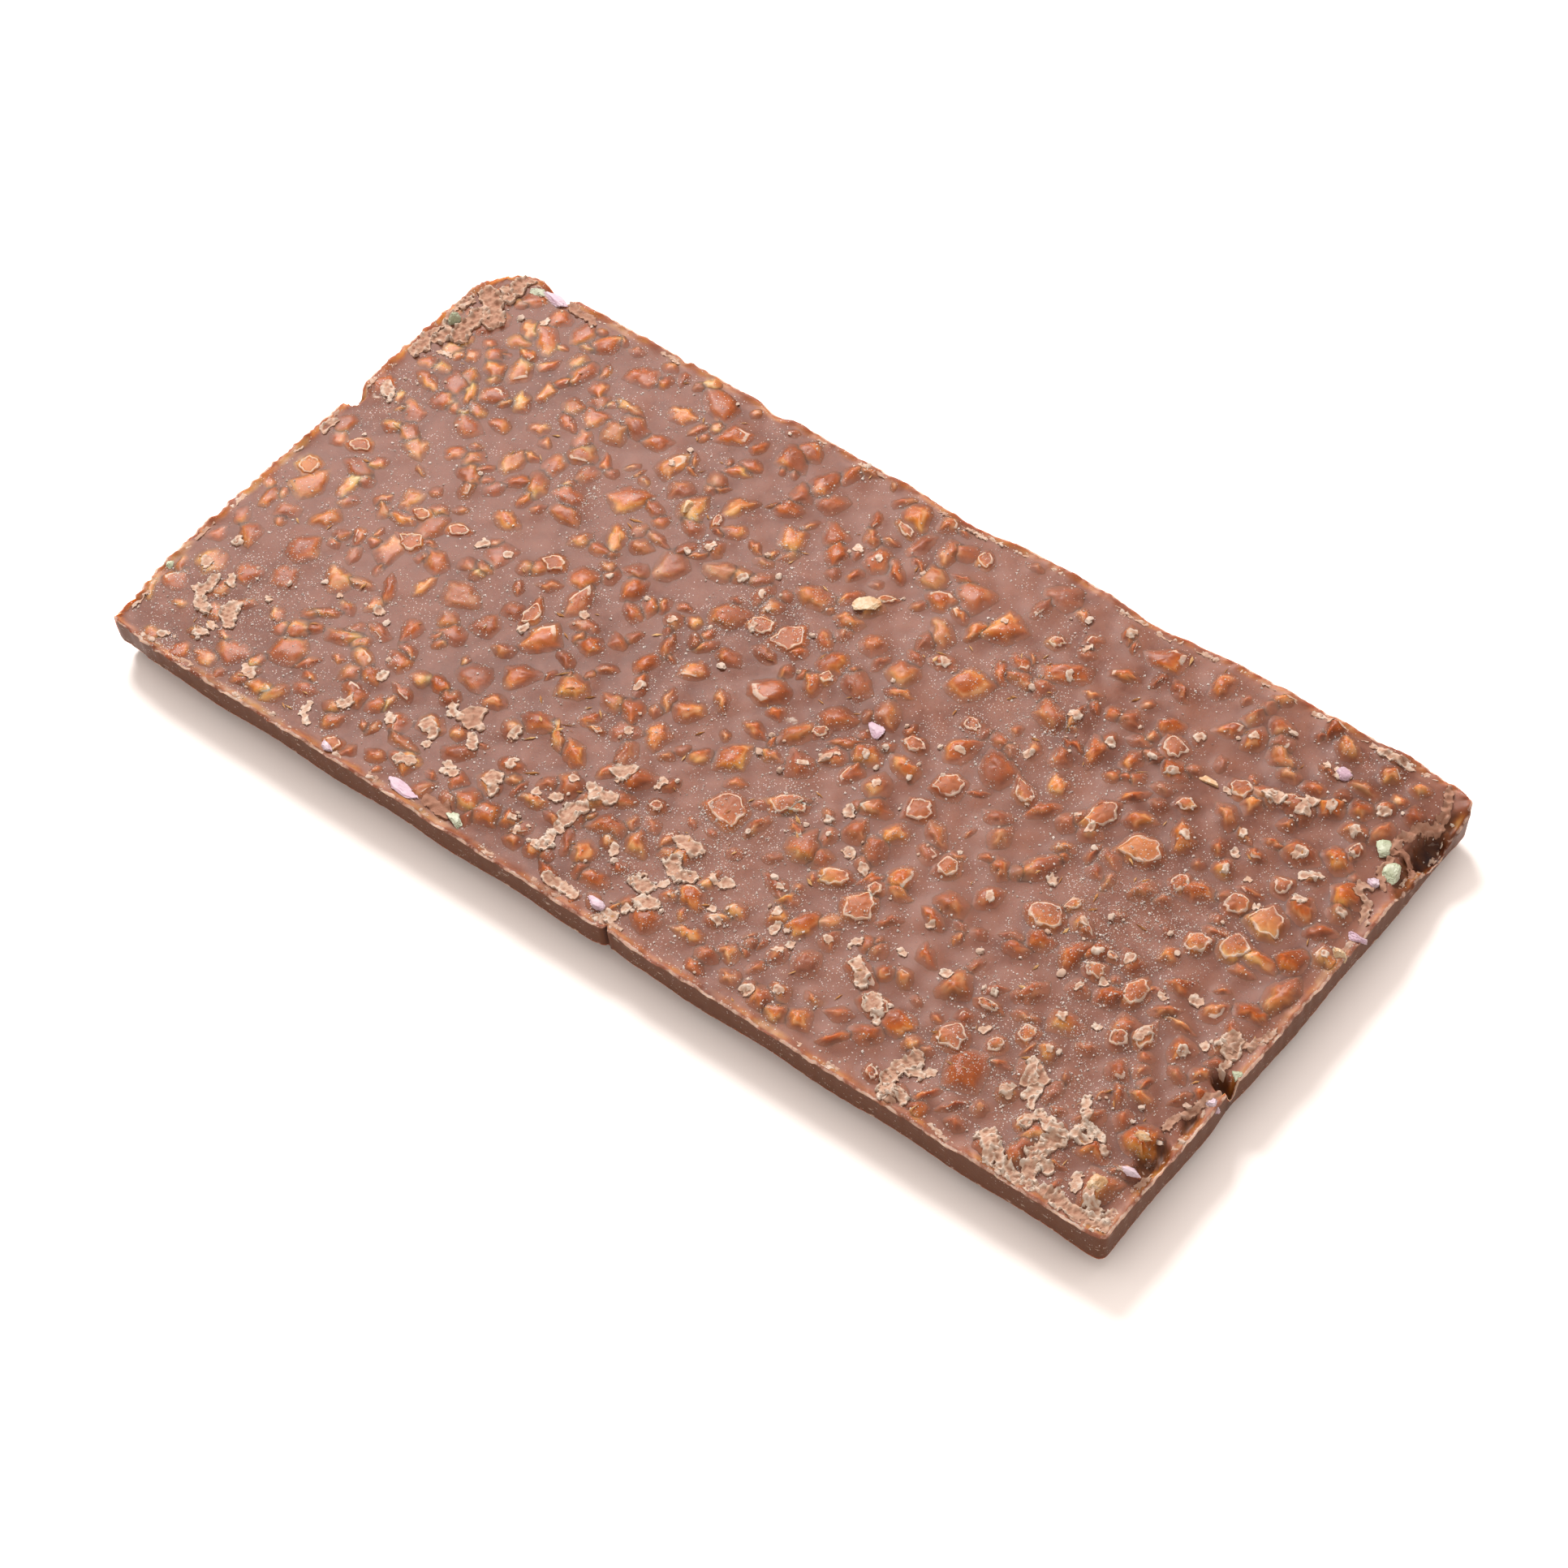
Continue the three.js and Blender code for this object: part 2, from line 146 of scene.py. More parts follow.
# x, y, length, width, turn and tone, from terracotta at 0 to amber at 1
largeNuts = [
    (-50, 34.5, 5.2, 3.7, 15, 0.1), (-33, 33, 4.8, 3.6, 40, 0.1), (-57, 29.8, 4.8, 3.2, 70, 0.3),
    (-18, 33, 5.4, 4.8, 110, 0.3), (-29.5, 19.5, 4.6, 4.0, 100, 1), (-0.1, 19.8, 4.2, 3.5, 70, 0.9),
    (-14, 8, 6.2, 4.8, 15, 0.6), (-33.5, 2, 5, 4.2, 150, 0.1), (-36.5, 24, 5, 4.2, 80, 0.8),
    (18, 17, 5.4, 4.6, 60, 0.7), (27.5, 26, 7.4, 4.0, 35, 0.3), (29.5, 8, 6.6, 4.4, 160, 0.1),
    (54, 13, 4.8, 4.0, 150, 0.6), (75, 5, 5.2, 4.2, 120, 0.05), (77, 0.2, 6.6, 3.4, 75, 0.8),
    (69.5, 8.5, 5, 4.6, 20, 0.7), (68.5, 3, 4.6, 3.6, 100, 0.8), (64.5, 1, 3.6, 3.4, 0, 0.6),
    (47.5, -6.5, 5.4, 4.4, 170, 0.3), (51, 8.5, 5.8, 4.6, 20, 0.7), (44, 10, 5.6, 3.4, 80, 0.4),
    (26, 2.5, 4.2, 4.0, 60, 0.2), (24.5, -10.5, 4.6, 3.4, 100, 0.1), (24.5, -24.5, 6.4, 3.2, 70, 0.3),
    (53, -30.5, 6.2, 5.2, 100, 0.05), (49, -27.5, 4.4, 3.4, 10, 0.4), (6, -16.5, 5.8, 5.0, 140, 0.4),
    (28.5, -19, 5.2, 3.8, 75, 0.6), (-66.5, -15.5, 5, 3.8, 50, 0.05), (-22, -13, 5.4, 5.0, 30, 0.8),
    (-8, -7.5, 5.2, 3.8, 30, 0.5), (-5, 9.5, 4.6, 4.2, 120, 0.1), (75.5, -25.7, 5.4, 4.8, 60, 0.5),
    (75.5, -34.7, 5, 4.4, 26, 0.4), (-56, -30, 5.2, 4.2, 60, 0.3), (34.5, -26.5, 5.4, 3.8, 150, 0.2),
]
seenNuts = [    # more that stand out: x, y, length, width, turn and tone
    (-39, -23.3, 2.4, 2.0, 20, 0.9), (-43, -23, 3.8, 3.2, 100, 0.5), (-47.5, -25.3, 4.2, 2.8, 160, 0.6),
    (-55.8, -25.3, 2.6, 1.7, 40, 0.1), (-56.5, -22.3, 3.6, 1.2, 30, 0.2), (-39.5, -26.4, 3.2, 1.2, 165, 0.1),
    (-39.7, -28.6, 2.4, 1.2, 100, 0.8), (-36.5, -30.5, 3.4, 2.4, 100, 0.1), (-35.3, -36.3, 2.6, 1.9, 10, 0.2),
    (-24.3, -33, 2.8, 2.3, 110, 0.1), (-20.5, -27.2, 4.4, 2.3, 170, 0.05), (-18.6, -28.9, 1.7, 1.5, 0, 0.9),
    (-14.5, -29.7, 3.7, 1.7, 10, 0.7), (-18, -35, 4.4, 2.8, 170, 0.3), (-12.7, -36, 2.1, 1.8, 0, 0.3),
    (-14.8, -26.7, 2.8, 2.1, 40, 0.3), (-33, -28.6, 4.0, 3.4, 20, 0.7), (-31.6, -34.8, 4.0, 3.0, 170, 0.7),
    (-20.6, -30.6, 3.8, 3.2, 150, 0.6), (-4.3, -32.6, 3.6, 3.4, 70, 0.7), (-2.9, -29.3, 2.1, 1.9, 0, 0.8),
    (-2.3, -25.5, 2.8, 1.3, 100, 0.7), (-0.5, -34.5, 4.0, 2.3, 20, 0.3), (16.5, -27.8, 3.0, 2.6, 0, 0.6),
    (15.5, -30.5, 2.8, 2.4, 60, 0.7), (14.3, -34.2, 3.8, 1.9, 10, 0.8), (19.7, -33.7, 3.4, 2.6, 150, 0.7),
    (17.7, -35.3, 3.0, 2.4, 20, 0.2), (22, -36.5, 3.4, 1.9, 160, 0.6), (28.3, -34.4, 3.0, 1.7, 170, 0.8),
    (32.8, -36, 3.5, 3.0, 120, 0.4), (36.3, -32.7, 3.0, 1.6, 20, 0.1), (37.8, -35.8, 3.8, 1.5, 55, 0.1),
    (20.8, -23.3, 2.4, 1.7, 100, 0.9), (18.5, -22.3, 3.6, 1.9, 160, 0.1), (34.2, -22.8, 2.6, 2.2, 100, 0.6),
    (39, -24, 3.0, 1.9, 150, 0.8), (17.6, -37.8, 2.6, 2.4, 0, 0.2), (57.8, -33.6, 2.0, 1.5, 120, 0.9),
    (51.5, -36, 3.6, 1.1, 60, 0.1), (54.8, -35.6, 3.4, 1.1, 55, 0.1), (56.7, -37, 2.4, 1.5, 20, 0.1),
    (59.6, -22.4, 2.8, 2.4, 110, 0.9), (58.8, -30, 2.4, 2.0, 100, 0.9), (72, -5.7, 3.6, 2.6, 60, 0.6),
    (66.5, -5.4, 5.0, 2.4, 10, 0.05), (69.8, -10, 3.6, 1.1, 5, 0.9), (72, -12.8, 3.4, 3.0, 120, 0.2),
    (67.6, -19.7, 3.8, 2.9, 135, 0.15), (62.8, -19.4, 2.6, 1.9, 20, 0.2), (72, -21.4, 3.3, 1.9, 165, 0.8),
    (69.8, -22.4, 3.4, 1.3, 120, 0.1), (72.2, -25.2, 2.8, 1.9, 100, 0.3), (73.5, -16.2, 3.0, 1.1, 155, 0.4),
    (58.2, -17.8, 4.2, 2.9, 170, 0.8), (59.8, -6, 4.4, 3.4, 160, 0.3), (57, -12.9, 3.6, 2.0, 160, 0.1),
    (72, -30.5, 3.4, 3.4, 100, 0.1), (75.2, -10, 2.8, 2.4, 60, 0.8), (77.8, -30.8, 4.4, 1.8, 5, 0.2),
    (62.6, 36.4, 4.4, 2.8, 130, 0.7), (69.3, 36.2, 3.2, 2.8, 100, 0.6), (67.6, 32.3, 4.2, 1.9, 170, 0.8),
    (75, 32.3, 3.8, 2.8, 150, 0.15), (66.2, 27.6, 4.2, 2.9, 30, 0.6), (70.2, 26.3, 3.8, 3.2, 150, 0.6),
    (71, 21.6, 4.4, 3.2, 140, 0.3), (62.6, 28.8, 3.0, 2.4, 0, 0.2), (67, 19.8, 4.4, 4.0, 20, 0.2),
    (63.2, 25.2, 4.0, 3.6, 100, 0.4), (71.8, 12.8, 4.6, 3.6, 150, 0.4), (74.8, 17.6, 4.6, 4.0, 120, 0.5),
    (75.6, 15, 3.4, 2.2, 150, 0.7), (75.2, 11, 4.0, 2.0, 40, 0.05), (70.4, 17.3, 3.4, 1.5, 40, 0.7),
    (60.6, 12.4, 2.9, 2.6, 150, 0.5), (58.8, 24.6, 3.4, 2.6, 30, 0.3), (62.7, 16.3, 3.2, 1.9, 170, 0.4),
    (78, 8.6, 4.4, 3.0, 160, 0.7), (58.8, 29, 3.6, 2.4, 150, 0.7), (63, 22.4, 2.0, 1.8, 0, 0.8),
    (-66, 36.2, 3.4, 2.6, 80, 0.15), (-65.2, 32.3, 5.0, 4.0, 120, 0.5), (-68.4, 32.3, 3.6, 1.8, 125, 0.7),
    (-68.2, 29.6, 2.8, 2.4, 40, 0.8), (-65.2, 28.3, 3.2, 1.3, 165, 0.3), (-64.2, 25.3, 4.2, 3.8, 130, 0.6),
    (-69.2, 25.7, 2.2, 2.6, 60, 0.1), (-71, 27, 1.9, 1.7, 60, 0.15), (-61.6, 29, 2.8, 1.4, 60, 0.2),
    (-59, 31.8, 2.2, 3.0, 0, 0.9), (-66, 22.2, 1.7, 1.7, 40, 0.9), (-69, 20.8, 2.8, 2.4, 0, 0.6),
    (-73.4, 19.7, 2.4, 1.8, 0, 0.9), (-66.8, 18, 4.2, 1.5, 120, 0.8), (-64.3, 20, 3.8, 2.6, 15, 0.15),
    (-60, 20.9, 3.4, 2.6, 130, 0.9), (-58.8, 24.8, 3.6, 2.2, 120, 0.7), (-73.3, 16.8, 3.8, 1.9, 165, 0.3),
    (-69.2, 15.4, 3.6, 2.8, 60, 0.1), (-64, 16.5, 2.4, 1.6, 0, 0.7), (-60, 16.2, 3.0, 1.8, 10, 0.4),
    (-63.4, 13.4, 3.4, 2.8, 130, 0.2), (-79, 28.9, 1.6, 1.5, 120, 0.6), (-72.4, 35.3, 1.8, 1.7, 90, 0.15),
]
wornNuts = [    # x, y, length and width of the tops that are worn flat, with a torn pale ring
    (-76, -4.2, 2.6, 2.4), (-55.7, -6.4, 2.6, 2.4), (26.2, 2.8, 3.4, 3.2), (25.3, -2.7, 3.0, 2.8),
    (43.8, 9.7, 4.2, 2.8), (47.4, -6.4, 4.6, 3.8), (64.4, 1.1, 2.8, 2.9), (68.7, 2.6, 3.4, 2.6),
    (62.7, -9.1, 2.1, 3.8), (49.3, -27.6, 3.4, 2.4), (56, -21.9, 1.7, 2.3), (65, -16, 2.1, 1.9),
    (67.2, -14, 1.9, 2.8), (65, 8.6, 2.6, 2.8), (69.4, 8.2, 2.8, 3.0), (61.2, 25.6, 1.6, 1.6),
    (67.8, 14.3, 1.8, 1.9), (50, 8.8, 4.2, 2.2), (28.3, -19.9, 3.0, 2.8), (28.3, -15.7, 1.6, 1.6),
    (38.8, -29.3, 3.6, 2.4), (6, -16.5, 4.2, 3.6), (10.1, -10.8, 3.2, 2.2), (12.8, -11.1, 1.8, 1.6),
    (55.3, 23.6, 2.6, 2.4), (51.3, 17.6, 1.8, 1.6), (57.6, 7.2, 1.9, 2.1), (56.9, -9.6, 2.2, 1.8),
    (-38, 1.8, 2.6, 2.2), (-9.3, 9.2, 3.2, 2.2), (-6.2, 10.2, 2.6, 2.6), (-1.6, -21.4, 1.4, 1.2),
    (33.5, -7.7, 2.2, 2.6), (18.6, 5.2, 2.4, 1.8), (53.9, -25.4, 1.7, 2.0), (23, 29.3, 1.6, 1.4),
]


def nutSize(nut):
    return (nut["length"] + nut["width"]) / 4


def finishNut(nut, draw):    # adds what the solid doesn't need: facets, film and colours
    along, size, turn = alongOf(nut["x"]), nutSize(nut), nut["turn"]
    at = lambda name, share=along: blend(*nutLooks[name], share)
    count = int(draw.integers(5, 8))
    start = draw.uniform(0, fullTurn)
    angles = start + (np.arange(count) + draw.uniform(-0.4, 0.4, count)) * fullTurn / count
    tone = nuts["toneSpread"] * nut.get("tone", float(draw.beta(1.1, 1.9))) + at("toneShift")
    lit = np.clip(-np.sin(angles + turn), 0, 1) * along    # the sides that light comes out of
    nut["facets"] = list(zip(    # direction, reach, slope and tone of each side
        np.cos(angles), np.sin(angles), draw.uniform(0.5, 1.05, count),
        draw.uniform(0.7, 1.8, count) * at("steepness"),
        np.clip(tone + draw.uniform(-0.12, 0.36, count) + 0.25 * lit, 0, 1.1),
    ))
    nut["topTone"] = float(np.clip(tone + draw.uniform(-0.3, 0.1), 0, 1))
    nut["film"] = float(np.clip(draw.uniform(0, 1) ** 1.2 * at("film"), 0, 1))
    # one end stands out, the other sinks in
    steep, leanTo = draw.uniform(0.2, 0.95), draw.uniform(0, fullTurn)
    nut["lean"] = steep * np.array([math.cos(leanTo), math.sin(leanTo)])
    # the film is thinner on one side, which shows more of the colour; at the right end that side leans to the
    # front, away from the lamps, as painted light shining through the nut
    facing = np.array([math.sin(turn), math.cos(turn)])
    nut["drift"] = draw.uniform(-0.4, 0.4, 2) - 0.35 * along * facing
    nut["skin"] = at("skin") + 0.14 * nut["film"]
    nut["soft"] = at("soft") * min(1, 0.35 + 0.5 * size)
    nut["glow"] = at("glow") * (0.7 + 0.6 * nut["film"])
    blur = at("blur") * (0.75 + 0.6 * nut["film"]) * min(1, 0.5 + 0.4 * size)
    nut["blur"] = at("blurStart", along ** 0.5) * blur, at("blurEnd", along ** 0.5) * blur
    nut["halo"], nut["hump"], nut["stand"] = at("halo"), at("hump"), at("stand", along ** 0.8)
    nut["worn"] = False
    if nut["rise"] > 0.6 or "tone" in nut:
        nut["film"] *= 0.58
    return nut


def wear(nut):    # its top is worn flat and dry
    nut["worn"], nut["film"], nut["lean"] = True, nut["film"] * 0.3, nut["lean"] * 0.3
    nut["rise"] *= 0.8
    nut["facets"] = [
        (a, b, max(reach, 0.85), max(slope, 1.5), tone) for a, b, reach, slope, tone in nut["facets"]
    ]


def riseAt(x, share):    # how far a nut stands out
    return blend(*nuts["rise"], np.clip(alongOf(x), 0, 1)) * (0.7 + 0.6 * share)


def onChip(x, y):
    return any(math.hypot((x - c[0]) / c[3], (y - c[1]) / c[4]) < 1.3 for c in chips + [wallCrack])


def apart(nut, x, y):
    return math.hypot(nut["x"] - x, nut["y"] - y)


def listed(rows, riseOf):
    return [
        dict(x=x, y=y, length=length, width=width, turn=math.radians(turn), tone=tone, rise=riseOf(x, length))
        for x, y, length, width, turn, tone in rows
    ]


def solidNuts():    # the ones that the solid has too, drawn as it draws them
    draws, margin = makeDraws(nuts["seed"]), 2 * nuts["solidMargin"]
    made = listed(largeNuts, lambda x, _: riseAt(x, nuts["largeShare"]))
    while len(made) < nuts["solidCount"]:
        x = (next(draws) - 0.5) * (tablet["length"] - margin)
        y = (next(draws) - 0.5) * (tablet["width"] - margin)
        length = blend(*nuts["solidLength"], len(made) / nuts["solidCount"])
        width = length * (0.55 + 0.35 * next(draws))
        turn = math.pi * next(draws)
        share = next(draws)
        crowded = any(apart(n, x, y) <= nuts["solidSpacing"] * (n["length"] + length) for n in made)
        if not crowded and not onChip(x, y):
            made.append(dict(x=x, y=y, length=length, width=width, turn=turn, rise=riseAt(x, share)))
    return made


def wearListed(made, draw):    # gives back the nuts that it adds where none lies near
    added = []
    for x, y, length, width in wornNuts:
        near = min(made, key=lambda n: apart(n, x, y))
        if apart(near, x, y) > nuts["ownTop"]:
            own = dict(x=x, y=y, length=length * 1.3, width=width * 1.3, turn=0.0, rise=riseAt(x, 0.5))
            near = finishNut(own, draw)
            added.append(near)
        wear(near)
    return added


def addSmallNuts(made, draw):    # the many small ones, which only show here
    margin, tries, first = 2 * nuts["smallMargin"], 0, len(made)
    while len(made) < first + nuts["smallCount"] and tries < 40000:
        tries += 1
        x = draw.uniform(-0.5, 0.5) * (tablet["length"] - margin)
        y = draw.uniform(-0.5, 0.5) * (tablet["width"] - margin)
        length = blend(*nuts["smallLength"], ((len(made) - first) / nuts["smallCount"]) ** 0.8)
        length *= 1 + 0.15 * alongOf(x)
        if onChip(x, y) or any(
            abs(n["x"] - x) < 6 and apart(n, x, y) < nuts["smallSpacing"] * (n["length"] + length)
            for n in made
        ):
            continue
        made.append(finishNut(dict(
            x=x, y=y, length=length, width=length * draw.uniform(0.3, 0.9), turn=draw.uniform(0, math.pi),
            rise=riseAt(x, draw.uniform(0, 1)) * (0.25 + 0.18 * length),
        ), draw))
    for nut in made[first:]:
        if nut["length"] > nuts["wornFrom"] and draw.uniform() < blend(*nuts["wornShare"], alongOf(nut["x"])):
            wear(nut)


def scatterNuts():
    draw = np.random.default_rng(7)
    seen = listed(seenNuts, lambda x, length: riseAt(x, 0.5) * (0.5 + 0.13 * length))
    hidden = lambda n: "tone" not in n and any(
        apart(n, o["x"], o["y"]) < 0.5 * (n["length"] + o["length"]) for o in seen)
    made = [finishNut(nut, draw) for nut in seen + [n for n in solidNuts() if not hidden(n)]]
    made = wearListed(made, draw) + made
    addSmallNuts(made, draw)
    print("nuts:", len(made), "of them worn:", sum(n["worn"] for n in made))
    return made


allNuts = scatterNuts()
nutPlaces = np.array([[n["x"], n["y"], n["length"]] for n in allNuts])


def bent(x, y):    # places shift a little, so that no nut is quite regular
    return x + 0.26 * waves(x, y, 2.2, 51, 2), y + 0.26 * waves(x, y, 2.2, 52, 2)


def nutPlace(nut, x, y):    # across the nut, each way from -1 to 1
    u, v = turned(x - nut["x"], y - nut["y"], -nut["turn"])
    return u * 2 / nut["length"], v * 2 / nut["width"]


def nutHeights(nut, u, v):    # how high each facet would lie here, its top first
    top = nut["rise"] * (1 + nut["lean"][0] * u + nut["lean"][1] * v)
    sides = [slope * nutSize(nut) * (reach - u * a - v * b) for a, b, reach, slope, _ in nut["facets"]]
    return np.stack([top] + sides)


def nutDepth(nut, u, v):    # how far a place lies inside its outline, in millimetres
    return nutSize(nut) * np.minimum.reduce([reach - u * a - v * b for a, b, reach, *_ in nut["facets"]])


def softLeast(heights, soft):
    weights = np.exp(-np.clip(heights / soft, -60, 60))
    total = weights.sum(0)
    return -soft * np.log(total), weights / total


def nutLift(nut, u, v):    # its height over the chocolate, with the film on it, and the share of each facet
    height, weights = softLeast(nutHeights(nut, u, v), nut["soft"])
    return height, nut["stand"] * 0.5 * (height + np.sqrt(height * height + nut["skin"] ** 2)), weights


def faceSwell(x, y):
    longWave = np.sin(x / 19 + 0.8) * np.cos(y / 14 - 0.5)
    shortWave = 0.6 * np.sin((x + 1.7 * y) / 9.5)
    return tablet["faceHeight"] + tablet["swell"] * (longWave + shortWave)


def carved(x, y, z):    # lowered into the chips and hollows, with rough walls
    rough = 0.22 * waves(x, y, 1.9, 31, 3)
    for cx, cy, cz, rx, ry, rz in chips:
        off = ((x - cx) / rx) ** 2 + ((y - cy) / ry) ** 2
        floor = cz - rz * np.sqrt(np.clip(1 - off, 0, 1)) + rough * np.clip(1.2 - off, 0, 1)
        z = np.where(off < 1, np.minimum(z, floor), z)
    return z


def faceAt(x, y, fields=False):    # the chocolate of the poured face, the nuts on it, and what shows
    x, y = np.asarray(x, float), np.asarray(y, float)
    ground = faceSwell(x, y) + 0.09 * waves(x, y, 17, 5, 2) + 0.05 * waves(x, y, 6, 6, 2) - 0.12
    lift, humps, best = np.zeros_like(x), np.zeros_like(x), np.full_like(x, -9)
    cover, tone, dry, ridge = (np.zeros_like(x) for _ in range(4))
    bentX, bentY = bent(x, y)
    reach = nutPlaces[:, 2] * 0.7 + 1.4
    near = (
        (nutPlaces[:, 0] > x.min() - reach) & (nutPlaces[:, 0] < x.max() + reach)
        & (nutPlaces[:, 1] > y.min() - reach) & (nutPlaces[:, 1] < y.max() + reach)
    )
    for index in np.flatnonzero(near)[::-1]:
        nut = allNuts[index]
        here = (np.abs(x - nut["x"]) < reach[index]) & (np.abs(y - nut["y"]) < reach[index])
        if not here.any():
            continue
        far = ((x[here] - nut["x"]) ** 2 + (y[here] - nut["y"]) ** 2) / (0.42 * nut["length"] + 0.35) ** 2
        humps[here] += nut["hump"] * nut["rise"] * np.exp(-far)
        u, v = nutPlace(nut, bentX[here], bentY[here])
        height, raised, weights = nutLift(nut, u, v)
        lift[here] = np.maximum(lift[here], raised)
        if not fields:
            continue
        wins = smoothStep(-0.08, 0.08, height - best[here])    # where nuts meet, the higher one shows
        best[here] = np.maximum(best[here], height)
        tones = np.array([nut["topTone"]] + [facet[4] for facet in nut["facets"]])
        thin = np.clip(nut["drift"][0] * u + nut["drift"][1] * v, -0.6, 0.6)
        own = np.tensordot(tones, weights, 1) + 0.7 * thin - nut["halo"] * smoothStep(0.2, -0.4, height)
        over = smoothStep(0, 0.1, height)
        depth = nutDepth(nut, u, v)
        shows = 0.84 * smoothStep(*nut["blur"], depth) + 0.16 * smoothStep(-nut["glow"], 0.3, depth)
        shows = shows * (1 - 0.8 * nut["film"])
        cover[here] = np.maximum(cover[here], np.clip(shows * (1 + 1.1 * thin), 0, 1))
        cap = over * weights[0] if nut["worn"] else np.zeros_like(height)
        for field, value in ((tone, own), (dry, cap), (ridge, over * (1 - weights.max(0)))):
            field[here] = blend(field[here], value, wins)
    face = {"base": ground + humps, "lift": lift}
    if fields:
        face.update(cover=cover, tone=tone, dry=dry, ridge=ridge)
    return face


def surfaceAt(x, y):
    face = faceAt(x, y)
    return carved(x, y, face["base"] + face["lift"])


# The outline and its rim

def wearOn(side, along):    # how far the rim is worn in
    wear = np.zeros_like(along)
    for name, middle, span, depth in rimWear:
        if name == side:
            offset = np.clip(np.abs(along - middle) / (span / 2), 0, 1)
            wear += depth * np.cos(offset * math.pi / 2) ** 2
    return wear


def insideOf(x, y):    # each side, how far inside it a place lies, and how far along it
    return (
        ("left", x + halfLength, y), ("right", halfLength - x, y),
        ("front", y + halfWidth, x), ("back", halfWidth - y, x),
    )


def wearAt(x, y):    # beside each place on the outline
    return sum(np.where(inside < 0.01, wearOn(side, along), 0) for side, inside, along in insideOf(x, y))


def breakGap(cut, x, y):    # how far a place lies outside a broken edge, and which way that faces
    px, py, turn = cut
    nx, ny = -math.sin(math.radians(turn)), math.cos(math.radians(turn))
    return np.where((x < -60) & (y > 25), (x - px) * nx + (y - py) * ny, -99), nx, ny


def outlineAt(sx, sy, rough=1.0):    # sx, sy run round the edge of a square from -1 to 1
    x, y = sx * halfLength, sy * halfWidth
    rough = rough * (1 + 1.6 * smoothStep(-66, -77, x))
    inset = wearAt(x, y) + rough * (0.07 * waves(x, y, 5, 11, 2) + 0.08 * waves(x, y, 1.7, 12, 2))
    for signX, signY, name in ((1, -1, "front"), (1, 1, "right"), (-1, 1, "back"), (-1, -1, "left")):
        r = cornerRadius[name]
        cx, cy = signX * (halfLength - r), signY * (halfWidth - r)
        inCorner = (signX * (x - cx) > 0) & (signY * (y - cy) > 0)
        away = np.maximum(np.hypot(x - cx, y - cy), 1e-6)
        x = np.where(inCorner, cx + (x - cx) * r / away, x)
        y = np.where(inCorner, cy + (y - cy) * r / away, y)
    x, y = x * (1 - inset / halfLength), y * (1 - inset / halfWidth)
    for cut in cornerBreaks:
        beyond, nx, ny = breakGap(cut, x, y)
        beyond = np.clip(beyond + 0.25 * waves(x, y, 2.4, 13, 3), 0, None)
        x, y = x - nx * beyond, y - ny * beyond
    return x, y


def edgeGap(x, y):    # roughly how far a place on the face lies inside the outline
    rims = [inside - wearOn(side, along) - 0.12 for side, inside, along in insideOf(x, y)]
    return np.minimum.reduce(rims + [-breakGap(cut, x, y)[0] for cut in cornerBreaks])


# Making meshes and materials

def pick(piece):    # the only thing selected
    bpy.ops.object.select_all(action="DESELECT")
    piece.select_set(True)
    bpy.context.view_layer.objects.active = piece


def joined(pieces):    # all of them as the first
    pick(pieces[0])
    for piece in pieces:
        piece.select_set(True)
    bpy.ops.object.join()
    return pieces[0]


def finishPiece(piece, slot, material, smoothTo=None, replaced=()):    # smooth up to an angle in degrees
    piece.data.materials.clear()
    piece.data.materials.append(material)
    if smoothTo:
        pick(piece)
        bpy.ops.object.shade_smooth_by_angle(angle=math.radians(smoothTo))
    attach(piece, "root")
    if replaced:
        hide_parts(*replaced)
    print(piece.name + ":", len(piece.data.polygons), "faces")


def pointsOf(mesh):
    points = np.empty(len(mesh.vertices) * 3)
    mesh.vertices.foreach_get("co", points)
    return points.reshape(-1, 3)


def setPoints(mesh, points):    # given in millimetres
    mesh.vertices.foreach_set("co", (points * mm).ravel())


def meshPiece(name, points, faces, **colours):    # points in millimetres, faces in groups of one kind
    mesh = bpy.data.meshes.new(name)
    corners = [face for group in faces for face in group.tolist()]
    mesh.from_pydata((np.asarray(points) * mm).tolist(), [], corners)
    for key, values in colours.items():
        addColours(mesh, key, values)
    mesh.update()
    piece = bpy.data.objects.new(name, mesh)
    bpy.context.collection.objects.link(piece)
    return piece


def addColours(mesh, name, values):    # four numbers for each point
    layer = mesh.attributes.new(name, "FLOAT_COLOR", "POINT")
    layer.data.foreach_set("color", np.clip(values, 0, 1).astype(np.float32).ravel())


class Flow:    # an output socket that can be written into sums
    def __init__(self, finish, socket):
        self.finish, self.socket = finish, socket

    def join(self, operation, first, second):
        return self.finish.node("ShaderNodeMath", {"operation": operation}, {0: first, 1: second})

    def __add__(self, other):
        return self.join("ADD", self, other)

    def __sub__(self, other):
        return self.join("SUBTRACT", self, other)

    def __rsub__(self, other):
        return self.join("SUBTRACT", other, self)

    def __mul__(self, other):
        return self.join("MULTIPLY", self, other)

    __radd__, __rmul__ = __add__, __mul__

    def most(self, other):
        return self.join("MAXIMUM", self, other)

    def step(self, low, high):    # a smooth rise from 0 to 1 between two values
        return self.finish.node(
            "ShaderNodeMapRange", {"interpolation_type": "SMOOTHSTEP"},
            {"Value": self, "From Min": low, "From Max": high, "To Min": 0, "To Max": 1},
        )


